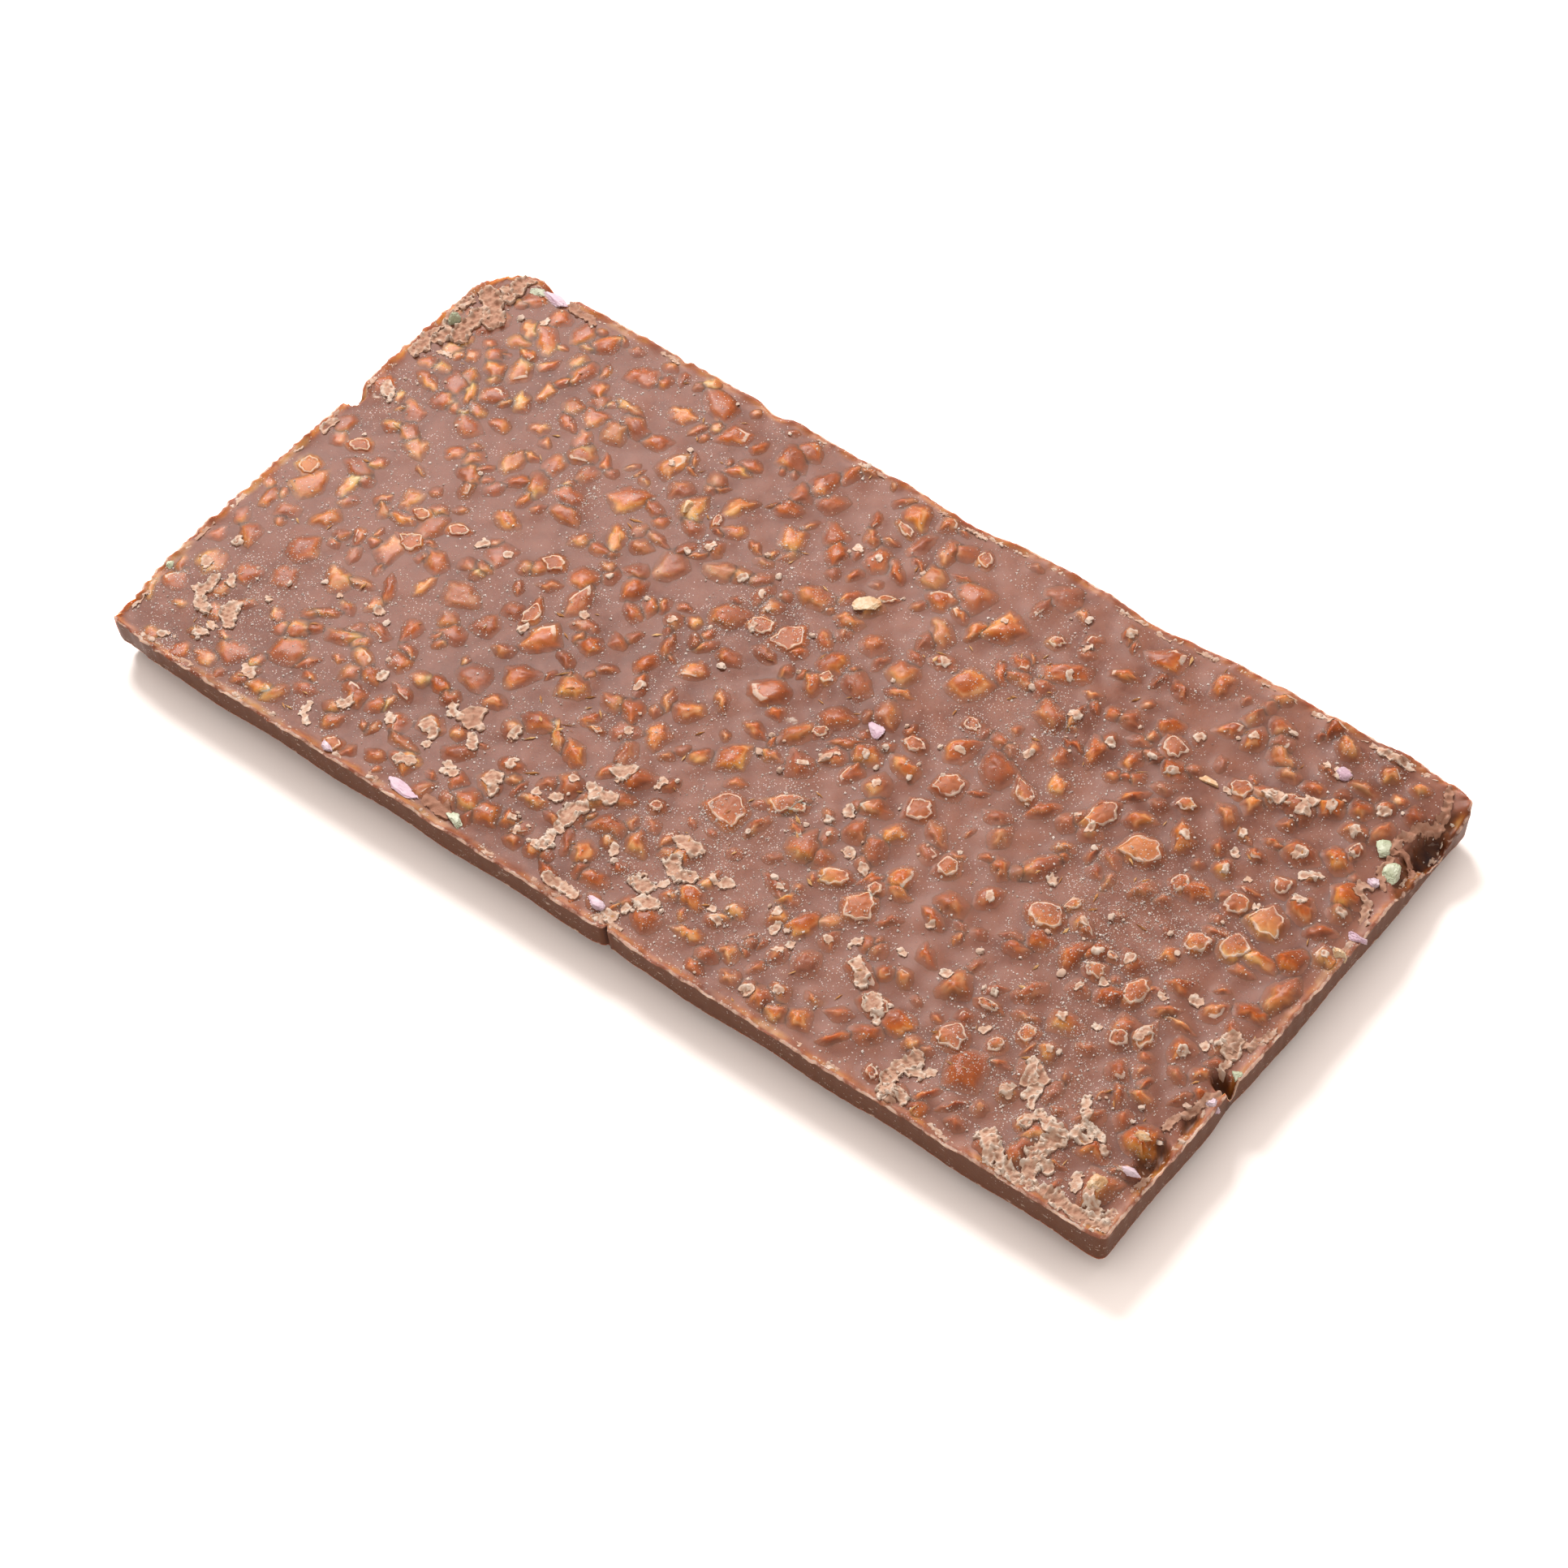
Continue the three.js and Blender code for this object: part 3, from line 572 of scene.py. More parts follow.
class Finish:    # one material and its nodes
    def __init__(self, name):
        self.material = bpy.data.materials.new(name)
        self.material.use_nodes = True
        self.tree = self.material.node_tree
        self.tree.nodes.clear()
        self.place = self.node("ShaderNodeTexCoord", output="Object")

    def node(self, kind, settings=None, sockets=None, output=0):
        made = self.tree.nodes.new(kind)
        for key, value in (settings or {}).items():
            setattr(made, key, value)
        for key, value in (sockets or {}).items():
            if isinstance(value, Flow):
                self.tree.links.new(value.socket, made.inputs[key])
            else:
                made.inputs[key].default_value = value
        return Flow(self, made.outputs[output])

    def noise(self, perMetre, detail=3.0, roughness=0.55, distortion=0.0, place=None):
        return self.node(
            "ShaderNodeTexNoise", None,
            {"Vector": place or self.place, "Scale": perMetre, "Detail": detail,
             "Roughness": roughness, "Distortion": distortion},
        )

    def cells(self, perMetre, output="Distance"):
        return self.node("ShaderNodeTexVoronoi", None, {"Vector": self.place, "Scale": perMetre}, output)

    def channels(self, name):    # the four numbers of a colour attribute
        made = self.node("ShaderNodeAttribute", {"attribute_name": name}, output="Color")
        split = self.node("ShaderNodeSeparateColor", None, {0: made})
        outputs = split.socket.node.outputs
        return [Flow(self, o) for o in outputs] + [Flow(self, made.socket.node.outputs["Alpha"])]

    def mix(self, share, first, second):
        return self.node("ShaderNodeMix", {"data_type": "RGBA"}, {0: share, 6: first, 7: second}, 2)

    def bump(self, height, distance, strength):
        sockets = {"Height": height, "Distance": distance, "Strength": strength}
        return self.node("ShaderNodeBump", None, sockets)

    def surface(self, colour, roughness, normal=None, **constants):
        sockets = {"Base Color": colour, "Roughness": roughness}
        if normal is not None:
            sockets["Normal"] = normal
        sockets.update({key.replace("_", " "): value for key, value in constants.items()})
        shader = self.node("ShaderNodeBsdfPrincipled", None, sockets)
        out = self.tree.nodes.new("ShaderNodeOutputMaterial")
        self.tree.links.new(shader.socket, out.inputs["Surface"])
        return self.material


studio = {
    "brightness": 1.9,     # of the light on a level surface, so that the floor goes white
    "sheen": 0.056,        # what gloss adds to a colour
    "sky": 1.0, "skyTint": (1, 0.93, 0.87, 1),
    "lamps": [((-0.57, 0.43, 0.72), 0.46, 15), ((-0.15, 0.3, 1.2), 1.4, 3)],    # place, width and power
    "floor": ((250, 241, 237), (248, 239, 235)), "floorSize": 6,
}


def linear(c):
    return c / 12.92 if c <= 0.04045 else ((c + 0.055) / 1.055) ** 2.4


def colour(red, green, blue):    # from the 0 to 255 of a colour picker
    return (linear(red / 255), linear(green / 255), linear(blue / 255), 1)


def shown(red, green, blue):    # the colour that looks so under the studio's light
    own = [max(c - studio["sheen"], 0.003) for c in colour(red, green, blue)[:3]]
    return tuple(c / studio["brightness"] for c in own) + (1,)


chocolateColours = {
    "pink": shown(158, 106, 88),
    "brown": shown(174, 123, 106),
    "shade": shown(128, 82, 66),
    # the wall's darker colour: partly its own, partly painted shade
    "wall": shown(120, 84, 68),
    # painted shade, for hollows, creases and the wall's crack
    "deep": shown(84, 50, 38),
    "rust": shown(176, 100, 69),
    "terracotta": shown(210, 118, 71),
    "orange": shown(233, 147, 80),
    "amber": shown(247, 185, 112),
    # painted highlight for the ridges of nuts
    "glow": shown(255, 222, 180),
    "dryCap": shown(206, 152, 126),
    "pale": shown(242, 216, 198),
    "dust": shown(240, 220, 210),
}


def chocolateFinish():
    c = chocolateColours
    f = Finish("milkChocolate")
    cover, tone, dry, ridge = f.channels("nuts")
    # dark is painted shade in hollows, creases and the wall's crack
    dust, wall, pale, dark = f.channels("marks")
    broad, patchy = f.noise(42, 3), f.noise(260, 4, 0.6)
    fine, grain = f.noise(1500, 4, 0.6), f.noise(7000, 2)
    x = f.node("ShaderNodeSeparateXYZ", None, {0: f.place})
    # the film: pinker at the left, browner at the right, patchy, and darker down the wall, partly its own
    # colour and partly painted shade
    brownness = (x.step(-0.075, 0.06) * 0.55 + broad * 0.6 + patchy * 0.4 - 0.4).step(0, 0.9)
    base = f.mix(brownness, c["pink"], c["brown"])
    base = f.mix((patchy + broad).step(1.05, 0.75) * 0.5, base, c["shade"])
    base = f.mix(wall * 0.92, base, c["wall"])
    low = f.node("ShaderNodeVectorMath", {"operation": "MULTIPLY"}, {0: f.place, 1: (1, 1, 3)})
    flecks = f.noise(620, 3, 0.6, 0.3, low).step(0.66, 0.7) * wall
    base = f.mix(flecks * (1 - dark) * 0.55, base, c["pale"])
    # nuts under it, with edges broken up a little
    ragged = cover * (0.9 + fine * 0.2)
    vary = tone + (patchy - 0.5) * 0.7 + (fine - 0.5) * 0.3
    nutTone = f.mix(vary.step(-0.1, 0.3), c["rust"], c["terracotta"])
    nutTone = f.mix(vary.step(0.25, 0.65), nutTone, c["orange"])
    nutTone = f.mix(vary.step(0.6, 1.0), nutTone, c["amber"])
    # painted highlight: paler along the ridges between a nut's facets
    nutTone = f.mix(ridge.step(0.15, 0.6) * tone.step(0.0, 0.6) * 0.4, nutTone, c["glow"])
    base = f.mix(ragged, base, nutTone)
    base = f.mix((dry + (fine - 0.5) * 0.5 * dry).step(0.3, 0.8) * 0.3, base, c["dryCap"])
    # torn pale places, and painted shade in hollows, in the creases round nuts and along the wall's crack
    torn = f.noise(900, 5, 0.7)
    base = f.mix((pale + (torn - 0.5) * 1.3 * pale.step(0, 0.3)).step(0.3, 0.7) * 0.85, base, c["pale"])
    base = f.mix(dark * 0.85, base, c["deep"])
    # dust: specks, and powder between them
    chance = f.node("ShaderNodeSeparateColor", None, {0: f.cells(3200, "Color")})
    often = dust * f.noise(300, 3, 0.6).step(0.4, 0.66) * 2 + dust * 0.28
    specks = (1 - f.cells(3200).step(0.15, 0.32)) * (often - chance).step(0, 0.12)
    powder = grain.step(0.5, 0.75) * dust * patchy.step(0.35, 0.7) * 0.36
    base = f.mix(specks.most(powder), base, c["dust"])
    rough = 0.46 + dry * 0.25 + pale * 0.3 + dust * 0.12 - ragged * 0.12
    return f.surface(
        base, rough, f.bump(fine * 0.45 + grain * 0.2 + patchy * 0.2, 0.0001, 0.6),
        Specular_IOR_Level=0.15, Coat_Weight=ragged * 0.07 + 0.03, Coat_Roughness=0.32,
        Subsurface_Weight=0.6, Subsurface_Radius=(1.7, 0.75, 0.4), Subsurface_Scale=0.001,
    )


# The tablet: a fine grid, its border drawn out over the rim, down the wall and in underneath

rimInsets = [2.0, 1.5, 1.1, 0.8, 0.55, 0.38, 0.24, 0.12, 0.0]    # of its rings, from the grid outwards
wallDrops = [0.05, 0.14, 0.3, 0.5, 0.7, 0.86, 0.95, 1.0]         # as shares of the wall
underInsets = [0.5, 1.4, 3.6]
lastRim, lastWall = len(rimInsets), len(rimInsets) + len(wallDrops)
lastRing = lastWall + len(underInsets)
lipInsets = [0, 0.12, 0.24, 0.38, 0.55, 0.8, 1.1, 1.5, 2.0, 2.6]    # the raised lip, in from the rim
lipHeights = [0.5, 0.85, 1, 1, 0.85, 0.6, 0.4, 0.2, 0.07, 0]


def creaseShadeOf(height, sx, sy, onFace):    # how far each point of the grid lies below its surroundings, which is painted as shade in the creases round nuts
    order = np.flatnonzero(onFace)[np.lexsort((sx[onFace], sy[onFace]))]
    rows = len(np.unique(np.round(sy[onFace], 5)))
    field = height[order].reshape(rows, -1)
    blurred = field
    weights = np.exp(-(np.arange(-6, 7) / 3.4) ** 2)
    weights /= weights.sum()
    for axis in (0, 1):
        padded = np.pad(blurred, [(6, 6) if a == axis else (0, 0) for a in (0, 1)], mode="edge")
        blurred = np.apply_along_axis(lambda line: np.convolve(line, weights, "valid"), axis, padded)
    creaseShade = np.zeros_like(height)
    creaseShade[order] = np.clip((blurred - field).ravel() * 2.4, -0.5, 0.55)
    return creaseShade


def gridWithRings():
    inner = [(half - tablet["margin"]) * 2 for half in (halfLength, halfWidth)]
    steps = [round(side / cell) for side, cell in zip(inner, tablet["cells"])]
    bpy.ops.object.select_all(action="DESELECT")
    bpy.ops.mesh.primitive_grid_add(x_subdivisions=steps[0], y_subdivisions=steps[1], size=2)
    piece = bpy.context.object
    bpy.ops.object.mode_set(mode="EDIT")
    bpy.ops.mesh.select_mode(type="EDGE")
    bpy.ops.mesh.select_all(action="DESELECT")
    bpy.ops.mesh.select_non_manifold()
    for _ in range(lastRing):
        bpy.ops.mesh.extrude_edges_move(TRANSFORM_OT_translate={"value": (0, 0, -1)})
    bpy.ops.mesh.edge_face_add()
    bpy.ops.object.mode_set(mode="OBJECT")
    return piece


def formTablet(mesh):    # gives each point of the grid and its rings its place
    points = pointsOf(mesh)
    sx, sy, ring = points[:, 0], points[:, 1], np.rint(-points[:, 2]).astype(int)
    sx = sx + tablet["finerRight"] * (1 - sx * sx) / 2
    inX, inY = sx * (halfLength - tablet["margin"]), sy * (halfWidth - tablet["margin"])
    outX, outY = outlineAt(sx, sy)
    lowX, lowY = outlineAt(sx, sy, 0.3)    # the wall is smoother lower down
    x, y, inset, drop = inX.copy(), inY.copy(), np.full(len(sx), 9.0), np.zeros(len(sx))
    for k, e in enumerate(rimInsets, 1):
        at, share = ring == k, 1 - e / tablet["margin"]
        x[at], y[at], inset[at] = blend(inX, outX, share)[at], blend(inY, outY, share)[at], e
    for k, share in enumerate(wallDrops, lastRim + 1):
        at = ring == k
        draft, low = tablet["wallDraft"] * share, min(1, 2.5 * share)
        x[at] = (blend(outX, lowX, low) * (1 - draft / halfLength))[at]
        y[at] = (blend(outY, lowY, low) * (1 - draft / halfWidth))[at]
        inset[at], drop[at] = 0, share
    for k, e in enumerate(underInsets, lastWall + 1):
        at, e = ring == k, e + tablet["wallDraft"]
        x[at], y[at] = (lowX * (1 - e / halfLength))[at], (lowY * (1 - e / halfWidth))[at]
        inset[at], drop[at] = 0, 1
    # the face with its lip
    onRim, under = ring > 0, ring > lastWall
    show = faceAt(x, y, fields=True)
    z = carved(x, y, show["base"])
    depth = show["base"] - z
    along = np.where(np.abs(sx) * halfLength / halfWidth > np.abs(sy) * halfLength / halfWidth, outY, outX)
    rise = tablet["rimRise"] * (1 + 0.5 * np.sin(along * 0.71 + 2) + 0.35 * waves(outX, outY, 2.6, 21, 3))
    lip = np.interp(np.where(onRim, inset, 9), lipInsets, lipHeights) * np.clip(rise, 0.05, 0.8)
    crumpled = np.exp(-((inset - 0.3) / 0.3) ** 2) * 0.1 * waves(x, y, 0.9, 22, 2)
    top = z + (lip + np.where(onRim, crumpled, 0))
    # the foot of the wall, in arches, and the hidden plate
    beside = 0.5 + 0.5 * np.cos(along / tablet["pitch"] * 2 * math.pi)
    foot = tablet["footHeight"] + tablet["footArch"] * (1 - beside) - tablet["footSlope"] * outX / halfLength
    foot = foot + 0.05 * waves(outX, outY, 2.2, 23, 2)
    z = blend(top, foot, drop)
    z = np.where(under, blend(foot, tablet["footHeight"], (ring - lastWall) / len(underInsets)), z)
    z = np.where(ring == lastRing, tablet["footHeight"], z)
    z = np.where((ring > lastRim) & ~under, np.minimum(z, carved(x, y, z + 1.0)), z)
    setPoints(mesh, np.column_stack((x, y, z)))
    creaseShade = creaseShadeOf(show["base"] + show["lift"], sx, sy, ring == 0)
    markAndShadeTablet(mesh, x, y, ring, inset, drop, show, depth, creaseShade)


def markAndShadeTablet(mesh, x, y, ring, inset, drop, show, depth, creaseShade):    # torn crest, the lip's painted glow, dust, and painted shade in hollows, creases and the crack
    onWall, onTop = ring > lastRim, (ring > 0) & (ring <= lastRim)
    crest = np.where(onTop, smoothStep(0.6, 0.1, inset), 0) * (0.55 + 0.25 * waves(x, y, 7, 24, 2))
    lipGlow = np.where(onTop, smoothStep(1.5, 0.8, inset) * smoothStep(0.1, 0.5, inset), 0)
    lipGlow = lipGlow * np.clip(0.65 + 0.5 * waves(x, y, 6, 25, 2), 0, 1)    # painted glow of light shining through the thin lip: orange, inside the crest
    lipGlowCover = blend(0.75, 0.5, smoothStep(-78, -70, x)) * lipGlow
    cover = np.where(onWall, 0, np.maximum(show["cover"], lipGlowCover))
    tone = np.maximum(show["tone"], 0.8 * lipGlow)
    dry = np.where(onWall, 0, show["dry"])
    addColours(mesh, "nuts", np.column_stack((cover, tone, dry, show["ridge"])))
    # painted shade: darker deep in chips, along the wall's crack, and in the creases round nuts
    hollowShade, broken = smoothStep(0.9, 3.2, depth), smoothStep(0.1, 0.5, depth)
    crack = np.exp(-((x - wallCrack[0]) / 0.25) ** 2) * (y < -38.6) * onWall
    dark = hollowShade * (0.6 + 0.5 * waves(x, y, 2.2, 26, 2)) + crack + creaseShade * (1 - broken)
    lowEdge = smoothStep(0.8, 1.0, drop) * np.clip(waves(x, y, 3, 27, 3), 0, 1)
    pale = crest + 0.6 * np.where(onWall & (ring <= lastWall), lowEdge, 0) + smearAt(x, y)
    dust = np.where(onWall, 0.15, dustAt(x, y) * (1 - broken))
    wall = np.maximum(onWall, broken * 0.9)
    addColours(mesh, "marks", np.column_stack((dust, wall, pale, np.clip(dark, 0, 1))))
    mesh.update()


# x, y, radius and strength of each dusty or smeared place
dustSpots = [
    (55, 0, 10, 0.8), (26, 17, 8, 0.6), (10, -25, 15, 0.5), (-65, -30, 12, 0.4), (62, -26, 14, 0.5),
    (-44, 14, 3, 0.7), (-9, 12, 8, 0.4), (-76, 12, 5, 0.5),
]
smears = [
    (-77.2, 11.1, 1.6, 0.9), (-43.7, 14.7, 1.6, 0.35), (24.1, -6.7, 2.2, 0.35), (39.5, -13.8, 2.4, 0.35),
    (3.6, -0.6, 1.0, 0.8),
]


def spots(x, y, rows):
    total = 0
    for cx, cy, radius, share in rows:
        total = total + share * np.exp(-((x - cx) ** 2 + (y - cy) ** 2) / (2 * (radius * 0.7) ** 2))
    return total


def dustAt(x, y):
    return np.clip(0.22 + 0.12 * waves(x, y, 18, 41, 2) + spots(x, y, dustSpots), 0, 1)


def smearAt(x, y):
    return np.clip(spots(x, y, smears) * (0.7 + 0.5 * waves(x, y, 1.4, 42, 2)), 0, 1)


# half the width of each block at its flat foot, its belly and its top, and their heights
pillow = {"flat": 6.9, "belly": 8.0, "top": 8.4, "bellyHeight": 0.9, "topHeight": 3.6, "bevel": 0.45}


def addPillows():    # one moulded block, then copies of it along and across
    p, pitches = pillow, (tablet["pitch"], tablet["width"] / 4)
    low, high = p["bellyHeight"] * mm, p["topHeight"] * mm
    bpy.ops.object.select_all(action="DESELECT")
    bpy.ops.mesh.primitive_cube_add(
        size=1, location=(0, 0, (low + high) / 2), scale=(2 * p["top"] * mm, 2 * p["top"] * mm, high - low))
    piece = bpy.context.object
    piece.name = "pillows"
    bpy.ops.object.transform_apply(location=True, rotation=True, scale=True)
    bpy.ops.object.mode_set(mode="EDIT")
    bpy.ops.mesh.select_mode(type="FACE")
    bpy.ops.mesh.select_all(action="DESELECT")
    bpy.ops.object.mode_set(mode="OBJECT")
    for face in piece.data.polygons:
        face.select = face.normal.z < -0.9
    bpy.ops.object.mode_set(mode="EDIT")
    shrink = p["belly"] / p["top"]
    bpy.ops.transform.resize(value=(shrink, shrink, 1), center_override=(0, 0, low))
    bpy.ops.mesh.extrude_region_move(TRANSFORM_OT_translate={"value": (0, 0, -low)})
    shrink = p["flat"] / p["belly"]
    bpy.ops.transform.resize(value=(shrink, shrink, 1), center_override=(0, 0, 0))
    bpy.ops.object.mode_set(mode="OBJECT")
    bevel = piece.modifiers.new("rounding", "BEVEL")
    bevel.width, bevel.segments = p["bevel"] * mm, 3
    bevel.limit_method, bevel.angle_limit = "ANGLE", math.radians(20)
    for axis, count in ((0, 8), (1, 4)):
        rows = piece.modifiers.new("rows", "ARRAY")
        rows.use_relative_offset, rows.use_constant_offset, rows.count = False, True, count
        rows.constant_offset_displace = [pitches[axis] * mm if i == axis else 0 for i in range(3)]
    pick(piece)
    for name in [m.name for m in piece.modifiers]:
        bpy.ops.object.modifier_apply(modifier=name)
    piece.data.transform(Matrix.Translation((-3.5 * pitches[0] * mm, -1.5 * pitches[1] * mm, 0)))
    addColours(piece.data, "nuts", np.zeros((len(piece.data.vertices), 4)))
    addColours(piece.data, "marks", np.tile((0.05, 1, 0, 0), (len(piece.data.vertices), 1)))
    return piece


def addTablet():
    piece = gridWithRings()
    piece.name = piece.data.name = "tablet"
    formTablet(piece.data)
    finishPiece(joined([piece, addPillows()]), "chocolate", chocolateFinish(), 60, ["slab"])


# The nuts: each a patch of rays and loops that dips under the chocolate around it, closed underneath

patches = {    # rays, loops as shares of the outline, and further ones in millimetres beyond it
    "worn": (30, (), (0.2, 0.75)),
    "large": (24, (0.3, 0.55, 0.75, 0.9, 1.0), (0.26, 0.9)),
    "middling": (16, (0.4, 0.7, 0.94), (0.22, 0.8)),
    "small": (12, (0.5, 0.9), (0.18, 0.65)),
}
frost = {"share": (0.08, 0.16), "reach": 0.75}    # pale torn arcs on coated nuts, at the left and right


def roundWaves(angles, draw, first=2, last=7):    # noise round a circle
    total = 0
    for k in range(first, last):
        strength, phase = draw.uniform(0.4, 1), draw.uniform(0, fullTurn)
        total = total + strength * np.sin(k * angles + phase) / (last - first) ** 0.5
    return total


def outlineOf(nut, angles):    # how far its facets reach, and which one does
    facing = np.array([a * np.cos(angles) + b * np.sin(angles) for a, b, *_ in nut["facets"]])
    reach = np.array([[facet[2]] for facet in nut["facets"]])
    reaches = np.where(facing > 0.05, reach / np.maximum(facing, 0.05), 9)
    return np.minimum(reaches.min(0), 1.7), reaches.argmin(0)


def wornLoops(angles, outer, draw):    # a flat top in a torn ring of film: radii, paleness and lift
    torn, thick = roundWaves(angles, draw, 2, 9), 0.1 + 0.08 * roundWaves(angles, draw, 3, 12)
    ring = np.maximum(blend(outer, outer.mean(), 0.3) * (0.84 + 0.11 * torn), 0.34)
    thick = np.clip(thick, 0.04, 0.26)
    film = np.clip(0.25 + 0.3 * roundWaves(angles, draw, 1, 5), 0, 0.6)
    rim = np.clip(0.8 + 0.35 * roundWaves(angles, draw, 2, 6), 0.3, 1)
    radii = [0.45 * (ring - 0.24), 0.85 * (ring - 0.24), ring - thick - 0.08, ring - 0.5 * thick,
             ring + 0.5 * thick, ring + thick + 0.07]
    pale = [0.3 * film, 0.6 * film, film + 0.12, rim, rim, 0 * ring + 0.1]
    return radii, pale, [0, 0, 0.02, 0.15, 0.14, -0.02]


def coatedLoops(nut, kind, shares, angles, outer, draw):    # the same for a nut under its film
    arc = 0 * outer
    if draw.uniform() < blend(*frost["share"], alongOf(nut["x"])) and kind != "small":
        middle = draw.uniform(0, fullTurn)
        arc = smoothStep(0.2, 0.8, np.cos(angles - middle) + 0.35 * roundWaves(angles, draw, 3, 9))
    arcs = [arc * (0.7 <= share <= 0.9) for share in shares]
    return [share * outer for share in shares], [a * frost["reach"] for a in arcs], [0.06 * a for a in arcs]


def nutPatch(nut, draw):
    length = nut["length"]
    kind = "worn" if nut["worn"] else "large" if length > 3 else "middling" if length > 1.9 else "small"
    rays, shares, beyond = patches[kind]
    # some of the rays run through the corners of its outline
    around = np.linspace(0, fullTurn, 181)[:-1]
    owner = outlineOf(nut, around)[1]
    angles = np.arange(rays) * fullTurn / rays
    for corner in around[owner != np.roll(owner, 1)]:
        angles[round(corner / fullTurn * rays) % rays] = corner
    ray = np.hypot(np.cos(angles) * length / 2, np.sin(angles) * nut["width"] / 2)
    outer = outlineOf(nut, angles)[0] * ray
    if nut["worn"]:
        radii, pale, crest = wornLoops(angles, outer, draw)
    else:
        radii, pale, crest = coatedLoops(nut, kind, shares, angles, outer, draw)
    last = np.maximum(outer, radii[-1])
    radii = np.stack(radii + [last + b for b in beyond])
    pale = pale + [0 * ray for _ in beyond]
    crest = crest + [-0.01, -0.1 * nut["stand"]]
    loops = len(radii)
    u, v = radii / ray * np.cos(angles), radii / ray * np.sin(angles)
    x, y = turned(np.append(0, u) * length / 2, np.append(0, v) * nut["width"] / 2, nut["turn"])
    x, y = nut["x"] + x, nut["y"] + y
    # drawn in where it would reach past the rim
    gap = edgeGap(x, y)
    inward = np.clip((gap[0] - 0.15) / np.maximum(gap[0] - gap[-rays:], 0.01), 0.2, 1)
    inward = np.append(1, np.tile(inward, loops))
    x, y = blend(nut["x"], x, inward), blend(nut["y"], y, inward)
    lift = nutLift(nut, *nutPlace(nut, *bent(x, y)))[1]
    raised = np.append(0, np.concatenate([0 * ray + c for c in crest]))
    lift = lift * (1 + 0.12 * waves(x, y, 1.3, 53, 2)) + raised
    lift[-rays:] -= 1.5 * smoothStep(0.6, 0.1, edgeGap(x[-rays:], y[-rays:]))
    # its lowest point closes it
    x, y, lift = np.append(x, nut["x"]), np.append(y, nut["y"]), np.append(lift, -1.2)
    pale = np.concatenate([[float(np.mean(pale[0]))], *pale, [0]])
    start = 1 + np.arange(rays)
    ahead = 1 + (np.arange(rays) + 1) % rays
    low = (loops - 1) * rays
    triangles = [np.stack((0 * start, start, ahead), -1),
                 np.stack((0 * start + loops * rays + 1, ahead + low, start + low), -1)]
    quads = [
        np.stack((start + k, start + k + rays, ahead + k + rays, ahead + k), -1) for k in range(0, low, rays)
    ]
    return x, y, lift, pale, np.concatenate(triangles), np.concatenate(quads)


def addNuts(name, chosen):
    draw = np.random.default_rng(37)
    made, first, faces = [], 0, []
    for nut in chosen:
        x, y, lift, pale, triangles, quads = nutPatch(nut, draw)
        made.append((x, y, lift, pale))
        faces += [triangles + first, quads + first]
        first += len(x)
    x, y, lift, pale = (np.concatenate(column) for column in zip(*made))
    show = faceAt(x, y, fields=True)
    whole = show["base"] + lift
    z = carved(x, y, whole)
    z = z - 0.15 * smoothStep(0.0, 0.1, whole - z)    # what a chip cuts away sinks out of sight
    piece = meshPiece(
        name, np.column_stack((x, y, z)), faces,
        nuts=np.column_stack([show[field] for field in ("cover", "tone", "dry", "ridge")]),
        marks=np.column_stack((dustAt(x, y), 0 * x, pale, 0 * x)),
    )
    finishPiece(piece, "nuts", bpy.data.materials["milkChocolate"], 55)


# Ragged raised flakes and crusts: each a stroke through a few points

